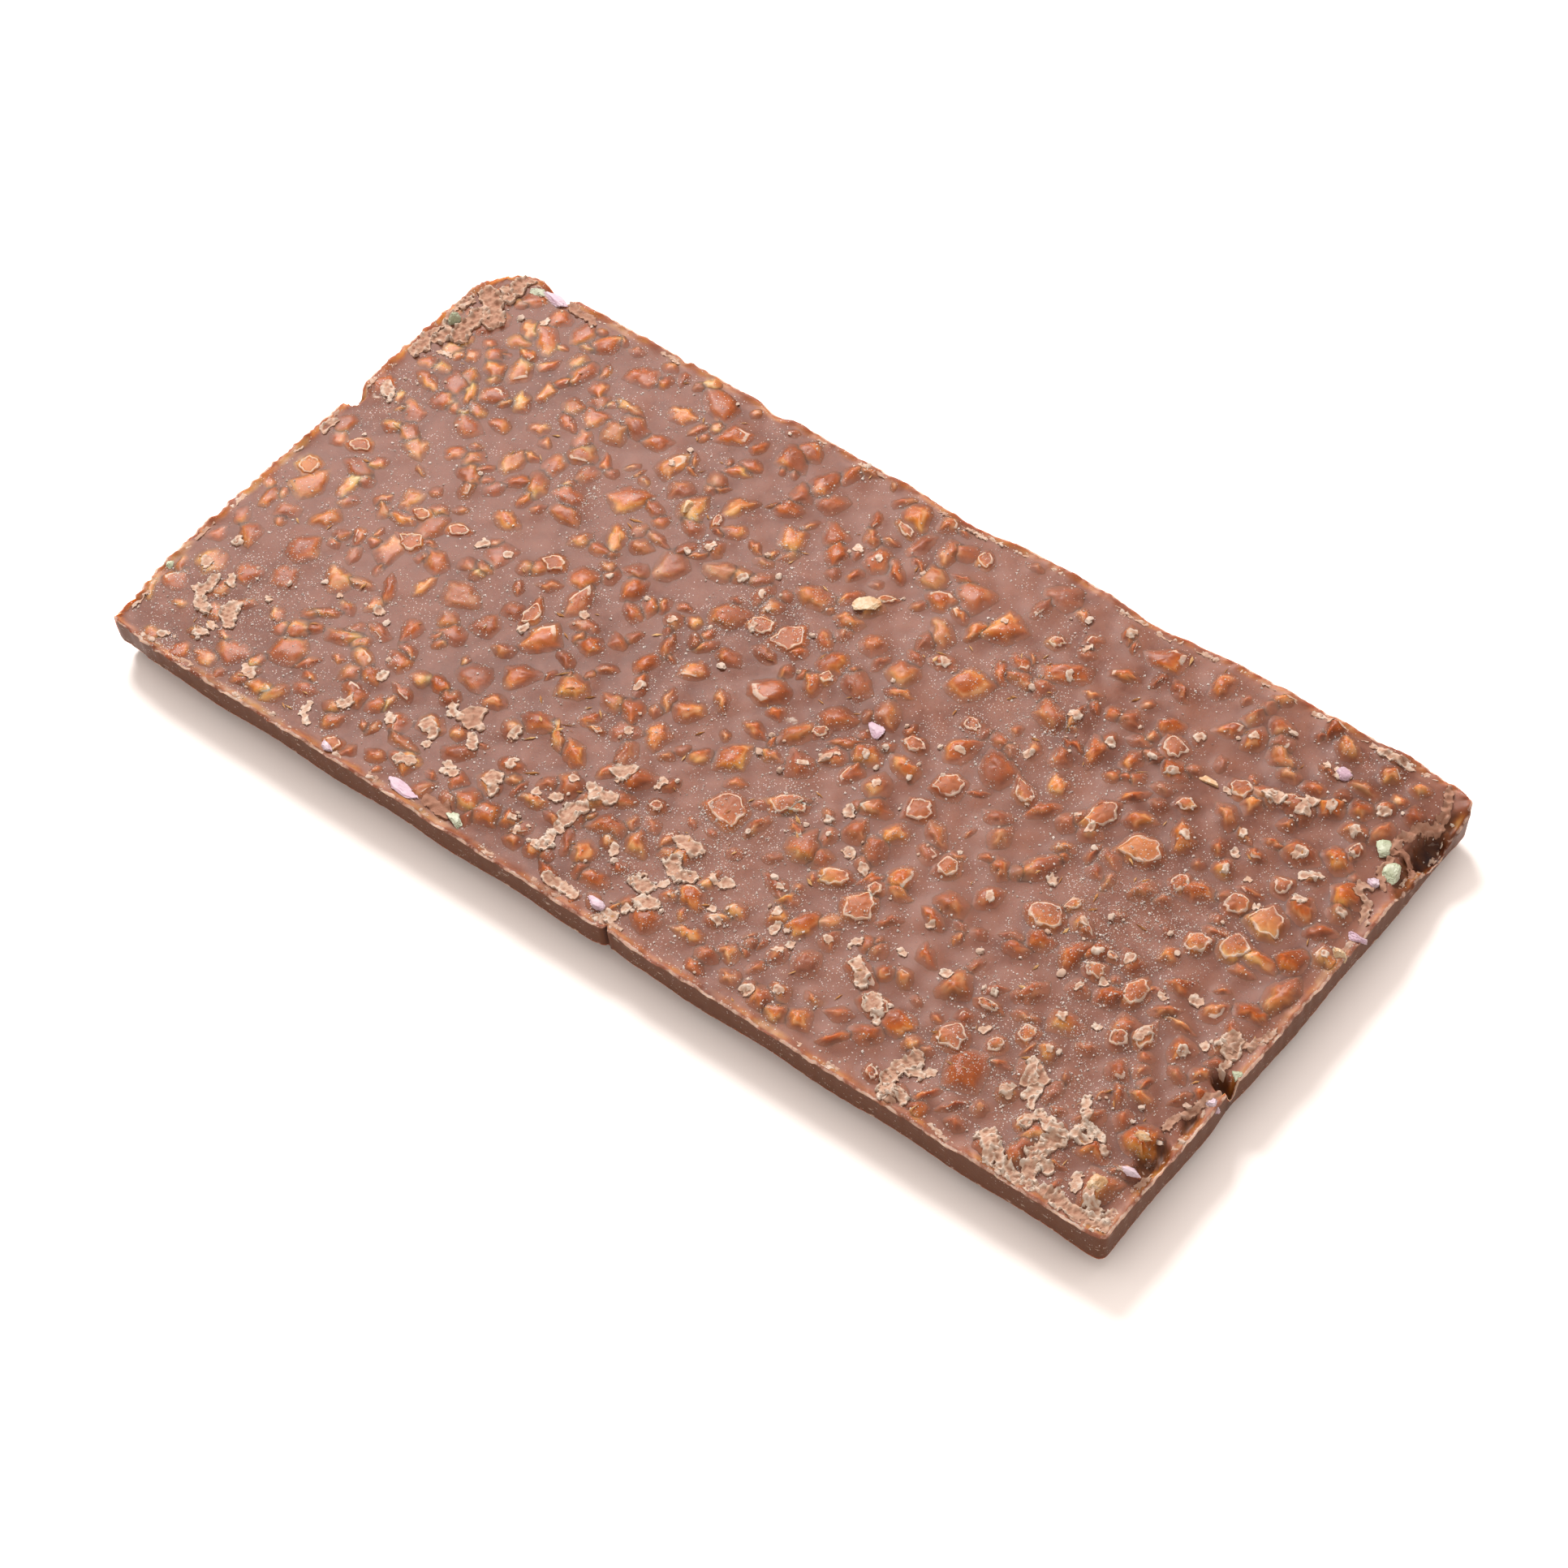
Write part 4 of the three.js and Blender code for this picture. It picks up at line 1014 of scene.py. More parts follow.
crustSet = {
    "cell": 0.165, "skirt": 0.3, "smallCount": 40,
    "scabShare": (0.03, 0.22),    # of the nuts longer than this, at the left and right end
    "scabFrom": 2.4,
    "rimCount": 120, "rimLength": (0.7, 3.2), "rimWidth": (0.35, 0.8), "rimRise": (0.25, 0.5),
    # palest, middle and shaded parts, and where it is browned
    "colours": ((252, 230, 212), (234, 192, 166), (194, 140, 116), (184, 132, 110)),
}
strokes = [    # points, width, height, laciness of 0.6 and brownness of 0 where they aren't given
    ([(67, -25.2), (68.2, -27), (69.2, -28.6), (70.5, -28.6), (71.8, -29)], 1.2, 0.8, 0.9),
    ([(69.2, -28.6), (69, -30.5), (70.8, -30.5), (70.6, -29.2)], 1.1, 0.8, 0.9),
    ([(68, -31), (66, -31.2), (64.8, -30.5), (63.8, -30.2), (63.3, -32.5)], 1.5, 0.9, 0.8),
    ([(68, -31.5), (67.2, -33.5), (66.8, -35.5), (67.5, -37.3), (68.8, -39)], 1.9, 0.9),
    ([(68.8, -39), (66, -39), (64, -38.3), (62.5, -37), (61, -35.6), (60.2, -36.5),
      (61.5, -37.6), (63, -38.8)], 1.5, 0.9, 0.8),
    ([(67.5, -35.5), (69.5, -36)], 1.3, 0.7, 0.7),
    ([(70, -38.9), (72, -38.6), (75, -38.7), (77.3, -38.8), (78.6, -38.4)], 1.9, 0.9, 0.5, 0.1),
    ([(75.2, -36), (76.5, -37.2), (77.8, -37.5), (78.8, -36.5)], 1.5, 0.8, 0.7),
    ([(59, -25), (60, -26.5), (61.5, -27.5), (61.2, -28.8)], 1.5, 0.7, 0.8),
    ([(60, -26)], 3.2, 0.7, 0.3, 0.3), ([(72.5, -34.5), (73.2, -36)], 1.3, 0.6, 0.8, 0.1),
    # the torn corner at the far left
    ([(-74.5, 39.2), (-75.3, 38), (-74.6, 36.8)], 2.2, 1.1, 0.3, 0.4),
    ([(-75.5, 36), (-74.3, 34.8)], 1.8, 1.0, 0.4, 0.4),
    ([(-77.5, 34), (-75.5, 33), (-73.8, 31.5), (-73.2, 30.3)], 3.0, 1.2, 0.3, 0.4),
    ([(-79, 31.8), (-78.8, 30.6)], 1.8, 1.0, 0.4, 0.4),
    ([(-75.2, 30.5), (-75.4, 28.5), (-75.6, 26.5), (-75, 25.5)], 2.6, 1.2, 0.4, 0.4),
    ([(-77.3, 25), (-77.3, 23.5)], 1.9, 1.0, 0.4, 0.4),
    ([(-79.2, 27.5), (-79.2, 25), (-78.8, 22.5), (-78, 21.3), (-78.3, 20)], 2.0, 1.0, 0.4, 0.4),
    ([(-66.5, 38.9), (-65, 38.4), (-62.5, 38.5), (-61.8, 38)], 1.2, 0.5, 0.5, 0.9),
    ([(-77, 12.5), (-76, 11.6)], 1.8, 0.6, 0.7, 0.1), ([(-67.4, 34.9), (-67.4, 34)], 0.8, 0.4, 0.3),
    ([(-75.5, 21.8), (-73.8, 22)], 0.6, 0.3, 0.2), ([(-79, 3.6), (-78.7, 1.8)], 1.4, 0.6, 0.6, 0.4),
    # front left
    ([(-29.5, -24.2)], 3.4, 0.7, 0.4, 0.5),
    ([(-31, -25), (-32.3, -25.2), (-32.8, -24.4)], 1.1, 0.6, 0.7, 0.1),
    ([(-27.5, -26.7), (-26.2, -27.8)], 1.5, 0.6, 0.8, 0.1), ([(-33.4, -28.5), (-32.2, -28.9)], 2.0, 0.6),
    ([(-31.3, -31)], 1.3, 0.5), ([(-38.3, -30.5), (-37.6, -30.8)], 1.2, 0.5, 0.6, 0.2),
    ([(-26.6, -32.6), (-25.4, -32.5)], 1.3, 0.5, 0.6, 0.1), ([(-32.1, -34.9), (-31.4, -34.5)], 1.9, 0.6),
    ([(-20.9, -30.4)], 2.5, 0.6, 0.6, 0.1), ([(-23.4, -22.5), (-23.4, -23.5)], 1.2, 0.5, 0.6, 0.2),
    ([(-12.5, -24.5)], 1.3, 0.5), ([(-15, -28.6)], 1.3, 0.5),
    ([(-47.8, -35), (-47.5, -36.6), (-46, -37.4)], 0.9, 0.4, 0.8, 0.1),
    ([(-25, -37.8), (-22.2, -37.9)], 1.8, 0.6, 0.1, 1),
    ([(-72.4, -26.6), (-71.6, -28), (-72.8, -29), (-71, -30.6), (-69.8, -31.4)], 1.6, 0.8, 0.7),
    ([(-70.6, -25.2), (-69.8, -26.2)], 1.2, 0.6, 0.7),
    ([(-67, -28.6), (-66.6, -30.4), (-65.6, -31)], 2.0, 0.8),
    ([(-58.6, -35.4), (-57, -36)], 1.3, 0.5, 0.6, 0.2),
    # front middle
    ([(-9.6, -24), (-8.2, -24.8), (-6.9, -24)], 2.0, 0.8, 0.8), ([(-9.5, -27.6), (-9.6, -29.6)], 2.6, 0.8),
    ([(-9.2, -32.8), (-8.9, -34.6)], 1.7, 0.7, 0.9), ([(-8.6, -20.4), (-7.4, -19.4)], 2.0, 0.7, 0.7),
    ([(4.4, -23.9), (6.6, -23.9)], 2.2, 0.7, 0.5, 0.2), ([(5.6, -27), (7.5, -28.5), (9, -27.2)], 2.0, 0.8),
    ([(3.8, -31.8), (5.2, -31.7)], 2.2, 0.8, 0.7), ([(6.4, -33.9), (7.3, -33.6)], 2.6, 0.8),
    ([(5.5, -36)], 1.2, 0.5), ([(33.3, -25.5), (35.5, -27.5)], 1.8, 0.7, 0.7),
    ([(38.5, -29.3)], 2.8, 0.7, 0.5), ([(39.6, -30.1), (40.4, -31)], 1.1, 0.5), ([(13, -25.5)], 1.9, 0.6),
    ([(14, -29.8)], 1.1, 0.4), ([(28.3, -25.1)], 1.2, 0.5), ([(31.2, -23.2)], 1.7, 0.6),
    ([(25.5, -36.8)], 1.9, 0.6), ([(-5.3, -37.9), (-3.4, -38.2), (-1.2, -38)], 1.5, 0.6, 0.5, 0.2),
    ([(3.9, -37.9), (5.2, -38)], 1.4, 0.6, 0.5, 0.1),
    # front right
    ([(47.5, -32.5), (46.5, -34.5), (46.7, -37), (47.5, -38.6)], 2.1, 1.0, 0.7, 0.1),
    ([(46.8, -34.6), (48.2, -34.3), (49.3, -34)], 1.2, 0.8, 0.7),
    ([(47.2, -37.8), (49, -38), (50, -38.3)], 1.4, 0.8), ([(58.9, -29.9)], 1.9, 0.6),
    ([(61.8, -28.9), (62.2, -29.8)], 1.0, 0.5, 0.4),
    # the right end
    ([(64.2, 33)], 1.9, 0.6, 0.5), ([(59.4, 24.9)], 2.3, 0.6), ([(63.3, 25.5), (63.3, 26.8)], 1.8, 0.6, 0.7),
    ([(66.7, 19.4)], 1.8, 0.6), ([(69, 17), (70.4, 18)], 1.3, 0.5), ([(60.3, 15.2)], 1.3, 0.5),
    ([(63.8, 12.8)], 1.0, 0.5), ([(70.6, 13.5)], 1.9, 0.6), ([(67, 9.7)], 1.0, 0.4),
    ([(59.5, -5.8)], 1.7, 0.6), ([(58.8, -10.5)], 1.3, 0.5), ([(67.1, -13.2), (67.1, -14.3)], 1.4, 0.5),
    ([(61.8, -16)], 1.1, 0.5), ([(58, -17.5)], 1.4, 0.5), ([(72.2, -13)], 1.3, 0.5),
    ([(76, -8.4), (76.8, -9.6)], 2.4, 0.8, 0.7, 0.1),
    # lips of the broken corner and of the hollows at the right end
    ([(76, 38.9), (77, 36.8), (77.7, 35), (77.8, 33), (76.8, 32), (76, 30), (75.3, 28.5),
      (75.5, 27.5)], 1.1, 0.9, 0.1, 0.9),
    ([(75.5, 26.5), (77, 27.4), (78.2, 26.8), (79, 25.8)], 1.0, 0.8, 0.2, 1),
    ([(76, 25.5), (76, 23.2), (77.6, 21.4)], 0.9, 0.7, 0.3, 0.9),
    ([(76.5, 20.5), (75.2, 20), (75.8, 18.6), (77.4, 18.3), (78, 17), (78.8, 15.5)], 1.0, 0.7, 0.4, 0.7),
    ([(79, -5), (78.3, -7.5), (77, -8), (76.5, -9.5)], 1.1, 0.7, 0.5, 0.7),
    ([(77.2, -11), (77.4, -12.4)], 0.9, 0.6, 0.5, 0.4),
    ([(78.9, -15.4), (78.2, -17), (78, -19), (76.8, -21), (76.6, -23)], 0.9, 0.7, 0.4, 0.8),
    ([(66, 38.6), (68, 38.4), (70.6, 38.7)], 1.1, 0.5, 0.6, 0.1),
]


def strokeRow(points, width, rise, lacy=0.6, brown=0):    # with the box that it fills
    (x0, x1), (y0, y1) = (((min(c), max(c)) for c in zip(*points)))
    return (x0 + x1) / 2, (y0 + y1) / 2, x1 - x0 + width, y1 - y0 + width, points, width, rise, lacy, brown


def strokeGap(points, x, y):    # how far each place is from the stroke
    gap = np.full(x.shape, 99.0)
    for (ax, ay), (bx, by) in zip(points, points[1:] + points[-1:]):
        dx, dy = bx - ax, by - ay
        share = np.clip(((x - ax) * dx + (y - ay) * dy) / max(dx * dx + dy * dy, 1e-9), 0, 1)
        gap = np.minimum(gap, np.hypot(x - ax - share * dx, y - ay - share * dy))
    return gap


def crustRule(row, x, y):    # a thin flake with holes, a thick pale frilly lip and a browner middle
    x0, y0, _, _, points, width, rise, lacy, brown = row
    seed = int(abs(x0 * 31 + y0 * 17)) + 100
    body = width / 2 - strokeGap(points, x, y)
    body = body + 0.2 * width * waves(x, y, 1.1 * width + 0.6, seed, 2)
    body = body + 0.13 * waves(x, y, 0.75, seed + 1, 2)
    holes = 0.4 + 0.45 * waves(x, y, 1.7, seed + 2, 2)
    body = np.minimum(body, holes + 1.2 * (1 - lacy))
    lip = np.exp(-((body - 0.16) / 0.24) ** 2) * (1 - 0.6 * brown)
    lip = lip * np.clip(0.7 + 0.6 * waves(x, y, 2, seed + 4, 2), 0, 1)
    bumps = waves(x, y, 0.9 + brown, seed + 3, 2)
    lift = rise * (0.14 + 0.1 * brown + 0.4 * lip * (0.8 + 0.5 * bumps) + (0.14 + 0.2 * brown) * bumps)
    pale = np.clip(0.25 * lacy + 0.8 * lip + 0.3 * bumps, 0, 1)
    middle = smoothStep(0.2, 0.55, body) * (1 - 0.4 * lacy)
    return body, np.clip(lift, 0.05, None), np.stack((pale, np.clip(-bumps, 0, 1), middle, 0 * x + brown), -1)


def flakeMesh(rows):    # a patch of grid for each stroke, trimmed to where there is flake
    points, faces, tones, first, cell = [], [], [], 0, crustSet["cell"]
    for row in rows:
        x0, y0, length, width = row[:4]
        axes = []
        for reach in (length / 2 + 0.8, width / 2 + 0.8):
            axes.append(np.linspace(-reach, reach, 2 * round(reach / cell) + 1))
        u, v = np.meshgrid(*axes, indexing="ij")
        body = np.minimum(crustRule(row, x0 + u, y0 + v)[0], (edgeGap(x0 + u, y0 + v) - 0.25) * 1.5)
        # the border's points move onto the flake's true outline
        du, dv = np.gradient(body, *axes)
        step = np.clip(-body / np.maximum(du * du + dv * dv, 0.05), 0, None) * (body < 0)
        step *= np.minimum(1, cell / np.maximum(step * np.hypot(du, dv), 1e-9))
        x, y = x0 + (u + step * du), y0 + (v + step * dv)
        _, lift, tone = crustRule(row, x, y)
        inside = body > 0
        used = inside[:-1, :-1] | inside[1:, :-1] | inside[:-1, 1:] | inside[1:, 1:]
        if not used.any():
            continue
        ground = surfaceAt(x, y)
        high, wide = used.shape
        corner = np.zeros(u.shape, bool)
        for di, dj in ((0, 0), (1, 0), (0, 1), (1, 1)):
            corner[di:di + high, dj:dj + wide] |= used
        count = corner.sum()
        number = np.full(u.shape, -1)
        number[corner] = first + np.arange(count)
        points += [np.column_stack((x[corner], y[corner], (ground + lift)[corner])),
                   np.column_stack((x[corner], y[corner], ground[corner] - crustSet["skirt"]))]
        tones += [tone[corner], tone[corner]]
        near, right, far, left = number[:-1, :-1], number[1:, :-1], number[1:, 1:], number[:-1, 1:]
        quads = np.stack((near, right, far, left), -1)[used]
        faces += [quads, quads[:, ::-1] + count]
        padded = np.pad(used, 1)
        borders = ((-1, 0, left, near), (1, 0, right, far), (0, -1, near, right), (0, 1, far, left))
        for di, dj, start, end in borders:
            bare = used & ~padded[1 + di:1 + di + high, 1 + dj:1 + dj + wide]
            a, b = start[bare], end[bare]
            faces.append(np.stack((b, a, a + count, b + count), -1))
        first += 2 * count
    return np.concatenate(points), faces, np.concatenate(tones)


def dryFinish(name, colours):    # its palest, middle and shaded parts, and a brown one if it has that
    palest, middle, shade, *earthy = [shown(*c) for c in colours]
    f = Finish(name)
    pale, pit, inner, brown = f.channels("tone")
    fine, grain = f.noise(2600, 4, 0.65), f.noise(9000, 2)
    base = f.mix((pale + (fine - 0.5) * 0.7).step(0.25, 0.95), middle, palest)
    base = f.mix((pit * 0.6 + inner * 0.9 + (fine - 0.5) * 0.6).step(0.3, 1.1) * 0.85, base, shade)
    if earthy:
        base = f.mix(brown * brown * 0.9, base, earthy[0])
    return f.surface(base, 0.7, f.bump(fine + grain * 0.4, 0.00013, 0.8), Specular_IOR_Level=0.3)


def nearby(x, y, reach, draw):    # a short stroke from here
    return [(x, y), (x + draw.uniform(-reach, reach), y + draw.uniform(-reach, reach))]


def smallStrokes(draw):
    for _ in range(crustSet["smallCount"]):
        x = draw.uniform(-1, 1) * 77
        y = draw.uniform(-1, 0.9) * 38 if draw.uniform() < 0.5 else draw.uniform(-38, 0)
        yield strokeRow(nearby(x, y, 0.7, draw), draw.uniform(0.7, 1.5), draw.uniform(0.4, 0.7),
                        brown=draw.uniform(0, 0.3))


def scabs(draw):    # dry ones on the tops of some nuts
    for nut in allNuts:
        share = blend(*crustSet["scabShare"], alongOf(nut["x"]))
        if nut["length"] > crustSet["scabFrom"] and not nut["worn"] and draw.uniform() < share:
            x, y = nut["x"] + draw.uniform(-0.5, 0.5), nut["y"] + draw.uniform(-0.5, 0.5)
            yield strokeRow(nearby(x, y, 0.5, draw), draw.uniform(0.7, 1.3), draw.uniform(0.3, 0.6),
                            draw.uniform(0.4, 0.8))


def rimStrokes(draw):    # torn edges of the film along the rim
    sides = np.array([[0, -1], [1, 0], [0, 1], [-1, 0]])
    for _ in range(crustSet["rimCount"]):
        side = sides[draw.choice(4, p=(0.36, 0.16, 0.32, 0.16))]
        along = draw.uniform(-0.97, 0.97)
        half = draw.uniform(*crustSet["rimLength"]) / 2
        width = draw.uniform(*crustSet["rimWidth"])
        inset = draw.uniform(0.45, 0.9)
        x = side[0] * halfLength if side[0] else halfLength * along
        y = side[1] * halfWidth if side[1] else halfWidth * along
        gap = float(edgeGap(np.array([x * 0.98]), np.array([y * 0.96]))[0])
        x, y = x * 0.98 + side[0] * (gap - inset), y * 0.96 + side[1] * (gap - inset)
        dx, dy = side[1] * half, side[0] * half
        points = [(x - dx, y - dy), (x, y + draw.uniform(-0.15, 0.15)), (x + dx, y + dy)]
        yield strokeRow(points, width, draw.uniform(*crustSet["rimRise"]), 0.5, draw.uniform(0.2, 0.8))


def addCrusts():
    draw = np.random.default_rng(19)
    rows = [strokeRow(*stroke) for stroke in strokes]
    for more in (smallStrokes, scabs, rimStrokes):
        rows += more(draw)
    points, faces, tones = flakeMesh(rows)
    piece = meshPiece("crusts", points, faces, tone=tones)
    finishPiece(piece, "crust", dryFinish("dryCrust", crustSet["colours"]), 50)


# Crumbs, lumps and slivers, with their palest, middle and shaded colours

crumbs = {
    "count": 21000, "size": (0.09, 0.35),
    "colours": ((255, 240, 230), (244, 220, 206), (222, 188, 170)),
}
lumps = {
    "count": 180, "size": (0.35, 1.1), "onNuts": 0.7,
    "colours": ((242, 216, 198), (228, 188, 164), (194, 146, 122)),
}
slivers = {
    "count": 150, "length": (0.6, 1.7), "width": (0.12, 0.3),
    "seen": [(-21.3, -22.4), (-18.8, -18.1), (-19.5, -12.9), (-22, -13.5), (-17.5, -26.5), (-24.8, -12)],
    "seenLength": 2.0, "seenTurn": 40,
    "colours": ((240, 190, 134), (216, 154, 102), (176, 114, 74)),
}
grainPoints = np.array([(1, 0, 0), (-1, 0, 0), (0, 1, 0), (0, -1, 0), (0, 0, 1), (0, 0, -1)], float)
grainFaces = np.array([
    (0, 2, 4), (2, 1, 4), (1, 3, 4), (3, 0, 4), (2, 0, 5), (1, 2, 5), (3, 1, 5), (0, 3, 5),
])


def copies(name, slot, colours, material, shapes, corners, lightest, draw, smoothTo=None):    # as one piece
    count, size = shapes.shape[:2]
    faces = corners[None] + size * np.arange(count)[:, None, None]
    shade = np.repeat(draw.uniform(0, 1, count), size)
    tones = np.column_stack((blend(lightest, 1, shade), 1 - shade, 0 * shade, 0 * shade))
    piece = meshPiece(name, shapes.reshape(-1, 3), [faces.reshape(-1, 3)], tone=tones)
    finishPiece(piece, slot, dryFinish(material, colours), smoothTo)


def grains(x, y, z, length, width, height, draw, turns=()):    # the last ones have the turns given
    count = len(x)
    turn = draw.uniform(0, fullTurn, count)
    turn[count - len(turns):] = turns
    shape = grainPoints[None] * (1 + draw.uniform(-0.35, 0.35, (count, 6, 1)))
    shape = shape + draw.uniform(-0.25, 0.25, (count, 6, 3))
    shape = shape * np.stack((length, width, height), -1)[:, None] / 2
    shapeX, shapeY = turned(shape[..., 0], shape[..., 1], turn[:, None])
    return np.stack((x[:, None] + shapeX, y[:, None] + shapeY, z[:, None] + shape[..., 2]), -1)


def scatterOnFace(count, draw, most=1.0):    # where there is dust, in clusters
    x, y = draw.uniform(-79, 79, count * 14), draw.uniform(-39.2, 39.2, count * 14)
    clusters = np.clip(0.45 + 0.9 * waves(x, y, 5, 44, 3), 0.12, 1)
    kept = (draw.uniform(0, most, len(x)) < dustAt(x, y) * clusters) & (edgeGap(x, y) > 0.6)
    return x[kept][:count], y[kept][:count]


def addCrumbs():
    draw = np.random.default_rng(23)
    x, y = scatterOnFace(crumbs["count"], draw)
    size = blend(*crumbs["size"], draw.uniform(0, 1, len(x)) ** 7)
    shapes = grains(x, y, surfaceAt(x, y) + size * 0.1, size * 1.2, size, size * 0.8, draw)
    copies("crumbs", "crust", crumbs["colours"], "crumb", shapes, grainFaces, 0.6, draw)


def addLumps():    # rounded pale grains, most of them stuck to nuts
    draw = np.random.default_rng(43)
    bpy.ops.object.select_all(action="DESELECT")
    bpy.ops.mesh.primitive_ico_sphere_add(subdivisions=2, radius=0.5)
    ball = bpy.context.object
    shape = pointsOf(ball.data)
    corners = np.array([p.vertices[:] for p in ball.data.polygons])
    bpy.data.objects.remove(ball)
    x, y = scatterOnFace(lumps["count"], draw)
    for i in np.flatnonzero(draw.uniform(0, 1, len(x)) < lumps["onNuts"]):
        near = allNuts[int(np.argmin((nutPlaces[:, 0] - x[i]) ** 2 + (nutPlaces[:, 1] - y[i]) ** 2))]
        dx, dy = turned(0.4 * near["length"], 0, draw.uniform(0, fullTurn))
        x[i], y[i] = near["x"] + dx, near["y"] + dy
    count = len(x)
    size = blend(*lumps["size"], draw.uniform(0, 1, count) ** 2.2)
    middle = np.stack((x, y, surfaceAt(x, y) + 0.12 * size), -1)
    rough = 1 + 0.18 * draw.normal(size=(count, len(shape), 1))
    stretch = draw.uniform(0.65, 1.25, (count, 1, 3)) * (1, 1, 0.6)
    shapes = shape[None] * rough * stretch * size[:, None, None] + middle[:, None]
    copies("lumps", "crust", lumps["colours"], "paleLump", shapes, corners, 0.5, draw, 40)


def addSlivers():
    draw, seen = np.random.default_rng(29), np.array(slivers["seen"])
    x, y = scatterOnFace(slivers["count"], draw, 0.6)
    length = np.append(draw.uniform(*slivers["length"], len(x)), np.full(len(seen), slivers["seenLength"]))
    x, y = np.append(x, seen[:, 0]), np.append(y, seen[:, 1])
    width = length * draw.uniform(*slivers["width"], len(x))
    turns = math.radians(slivers["seenTurn"]) + draw.uniform(-0.2, 0.2, len(seen))
    shapes = grains(x, y, surfaceAt(x, y) + 0.08, length, width, width * 0.8, draw, turns)
    copies("slivers", "nuts", slivers["colours"], "nutSkin", shapes, grainFaces, 0, draw)


# Angular chunks: bare nuts and broken candy, each a ball cut flat by a few planes

chunks = {    # x, y, length, width, turn and height of each bit
    "greenCandy": {
        "slot": "green_candy", "sides": 9, "seed": 61,
        "material": "greenSugar", "light": (232, 232, 208), "dark": (210, 216, 182), "roughness": 0.5,
        "bits": [
            (-71.7, 38.2, 2.6, 1.8, 0, 0.7), (-79.2, -28.4, 1.6, 1.4, 80, 0.6),
            (-20.4, -37.9, 3.6, 1.8, 165, 0.6), (74.3, 26.7, 2.8, 2.6, 100, 0.8),
            (77.4, 23.9, 2.2, 2.6, 30, 0.9), (79.0, -11.8, 1.4, 1.2, 90, 0.7),
            (-77.6, 27.2, 1.6, 1.2, 60, 1.9),
        ],
    },
    "pinkCandy": {
        "slot": "pink_candy", "sides": 9, "seed": 62,
        "material": "pinkSugar", "light": (242, 218, 226), "dark": (230, 192, 208), "roughness": 0.5,
        "bits": [
            (-69.0, 38.6, 4.0, 1.5, 172, 0.6), (-41.2, -38.9, 2.4, 1.3, 160, 0.5),
            (-28.9, -38.3, 4.6, 1.6, 175, 0.5), (2, -37.6, 2.4, 1.4, 0, 0.5), (13, 4.2, 2.6, 2.0, 160, 0.45),
            (76.4, 21.4, 2.0, 1.3, 150, 0.9), (79.3, 13.4, 1.2, 2.6, 100, 0.8),
            (79.0, -16.9, 1.4, 2.6, 80, 0.7), (77.6, -31, 2.4, 1.2, 10, 0.7), (64.1, 33.1, 1.9, 1.9, 40, 0.7),
        ],
    },
    "paleNuts": {
        "slot": "nuts", "sides": 8, "seed": 63,
        "material": "bareNut", "light": (252, 232, 198), "dark": (230, 174, 122), "roughness": 0.45,
        "bits": [
            (-0.3, 19.9, 3.2, 2.2, 50, 0.3), (-29.8, 19.3, 1.9, 1.4, 120, 0.5),
            (75.7, -26.3, 2.0, 1.7, 20, 0.5), (75.3, -34.7, 1.9, 2.2, 20, 0.6),
            (51.3, 22.5, 3.4, 1.1, 178, 0.4), (79.0, 9.5, 1.4, 2.0, 80, 0.9),
        ],
    },
}


def chunkFinish(chunk):
    f = Finish(chunk["material"])
    own = f.channels("tone")[0]
    fine, patchy = f.noise(1800, 3), f.noise(500, 3)
    share = (patchy + (fine - 0.5) * 0.4 + (own - 0.5) * 0.3).step(0.3, 0.75)
    base = f.mix(share, shown(*chunk["light"]), shown(*chunk["dark"]))
    return f.surface(base, chunk["roughness"], f.bump(fine, 0.0001, 0.5), Specular_IOR_Level=0.4)


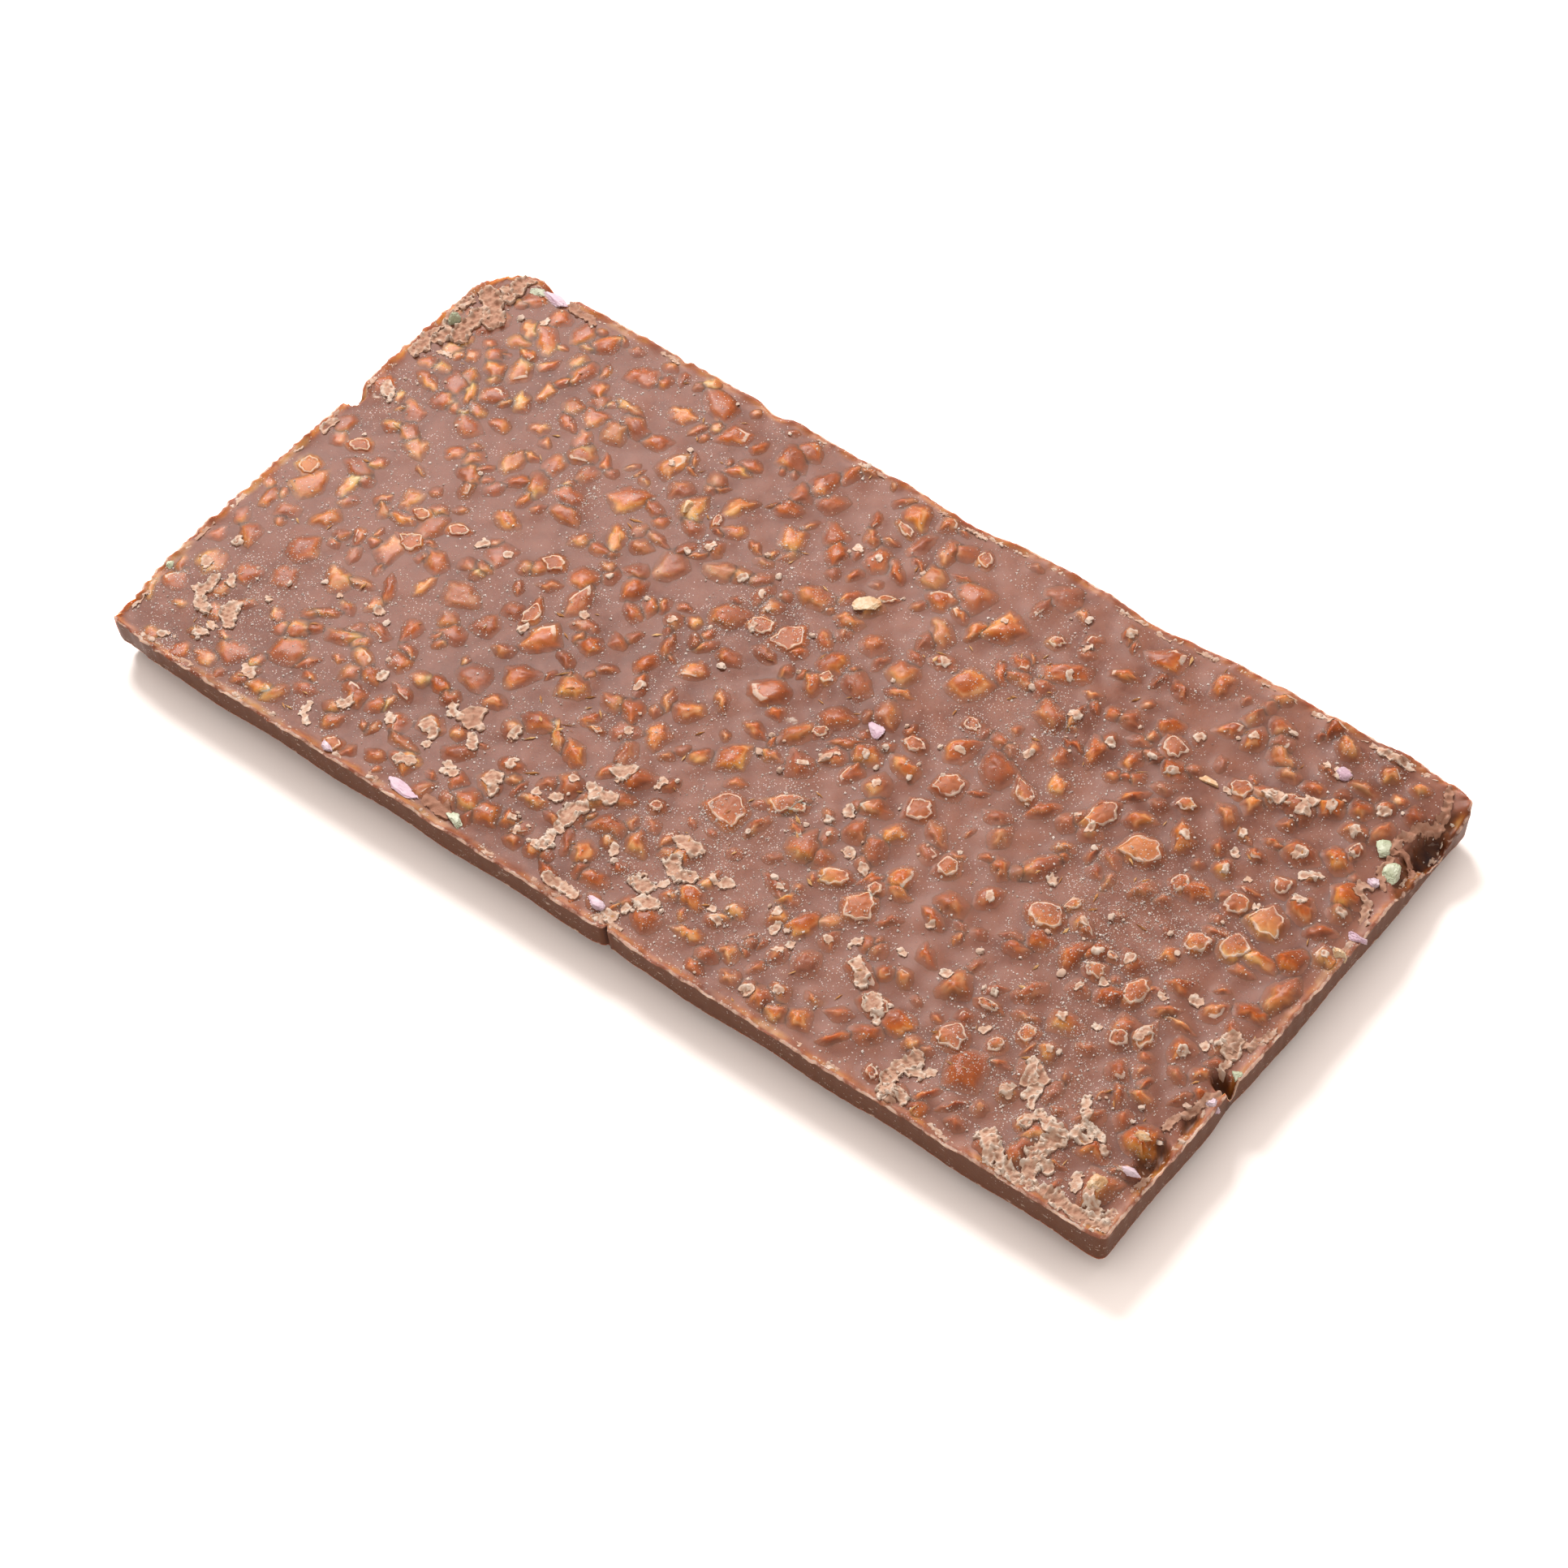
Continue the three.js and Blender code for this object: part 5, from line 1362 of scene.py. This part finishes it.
def addChunks(name, chunk):
    draw = np.random.default_rng(chunk["seed"])
    made = []
    for x, y, length, width, turn, height in chunk["bits"]:
        bpy.ops.object.select_all(action="DESELECT")
        bpy.ops.mesh.primitive_ico_sphere_add(subdivisions=4, radius=1)
        ball = bpy.context.object
        points = pointsOf(ball.data)
        normals = draw.normal(size=(chunk["sides"], 3))
        normals /= np.linalg.norm(normals, axis=1)[:, None]
        for normal in normals:
            reach = draw.uniform(0.42, 0.8)
            points -= np.clip(points @ normal - reach, 0, None)[:, None] * normal
        points += 0.035 * draw.normal(size=points.shape)
        ground = surfaceAt(np.array([x]), np.array([y]))[0]
        px, py = turned(points[:, 0] * length * 0.62, points[:, 1] * width * 0.62, math.radians(turn))
        setPoints(ball.data, np.column_stack((x + px, y + py, ground + points[:, 2] * height)))
        own, high = np.full(len(points), draw.uniform(0, 1)), np.clip(points[:, 2], 0, 1)
        tone = np.column_stack((own, high, draw.uniform(0, 1, len(points)), own * 0 + 1))
        addColours(ball.data, "tone", tone)
        made.append(ball)
    piece = joined(made)
    piece.name = piece.data.name = name
    finishPiece(piece, chunk["slot"], chunkFinish(chunk), 25)


# Floor, light and camera

def addStage():
    bpy.ops.object.select_all(action="DESELECT")
    bpy.ops.mesh.primitive_plane_add(size=studio["floorSize"], location=(0, 0, 0))
    floor = bpy.context.object
    floor.name = "floor"
    f = Finish("paper")
    tint = f.mix(f.noise(3, 2), *(colour(*c) for c in studio["floor"]))
    floor.data.materials.append(f.surface(tint, 0.9))
    world = bpy.data.worlds.new("studio")
    world.use_nodes = True
    sky = world.node_tree.nodes["Background"].inputs
    sky["Color"].default_value, sky["Strength"].default_value = studio["skyTint"], studio["sky"]
    bpy.context.scene.world = world
    for place, width, power in studio["lamps"]:
        bpy.ops.object.light_add(type="AREA", location=place)
        lamp = bpy.context.object
        lamp.data.shape, lamp.data.size, lamp.data.energy = "DISK", width, power
        lamp.rotation_euler = Vector(place).to_track_quat("Z", "Y").to_euler()
    print("stage: floor, sky and", len(studio["lamps"]), "lamps")


# the photo's view: where the camera stands, its turn in degrees, and its lens
view = {"place": (0.22594, -0.25201, 0.41963), "turn": (38.2227, 2.6761, 38.3882), "lens": 96.69}


def addCamera():
    bpy.ops.object.camera_add(location=view["place"], rotation=[math.radians(a) for a in view["turn"]])
    camera = bpy.context.object
    camera.data.lens, camera.data.sensor_width, camera.data.clip_start = view["lens"], 36, 0.01
    bpy.context.scene.camera = camera


addCamera()
addStage()
addTablet()
addNuts("coatedNuts", [nut for nut in allNuts if not nut["worn"]])
addNuts("wornNuts", [nut for nut in allNuts if nut["worn"]])
addCrusts()
addCrumbs()
addLumps()
addSlivers()
for name, chunk in chunks.items():
    addChunks(name, chunk)
print("all pieces are made")
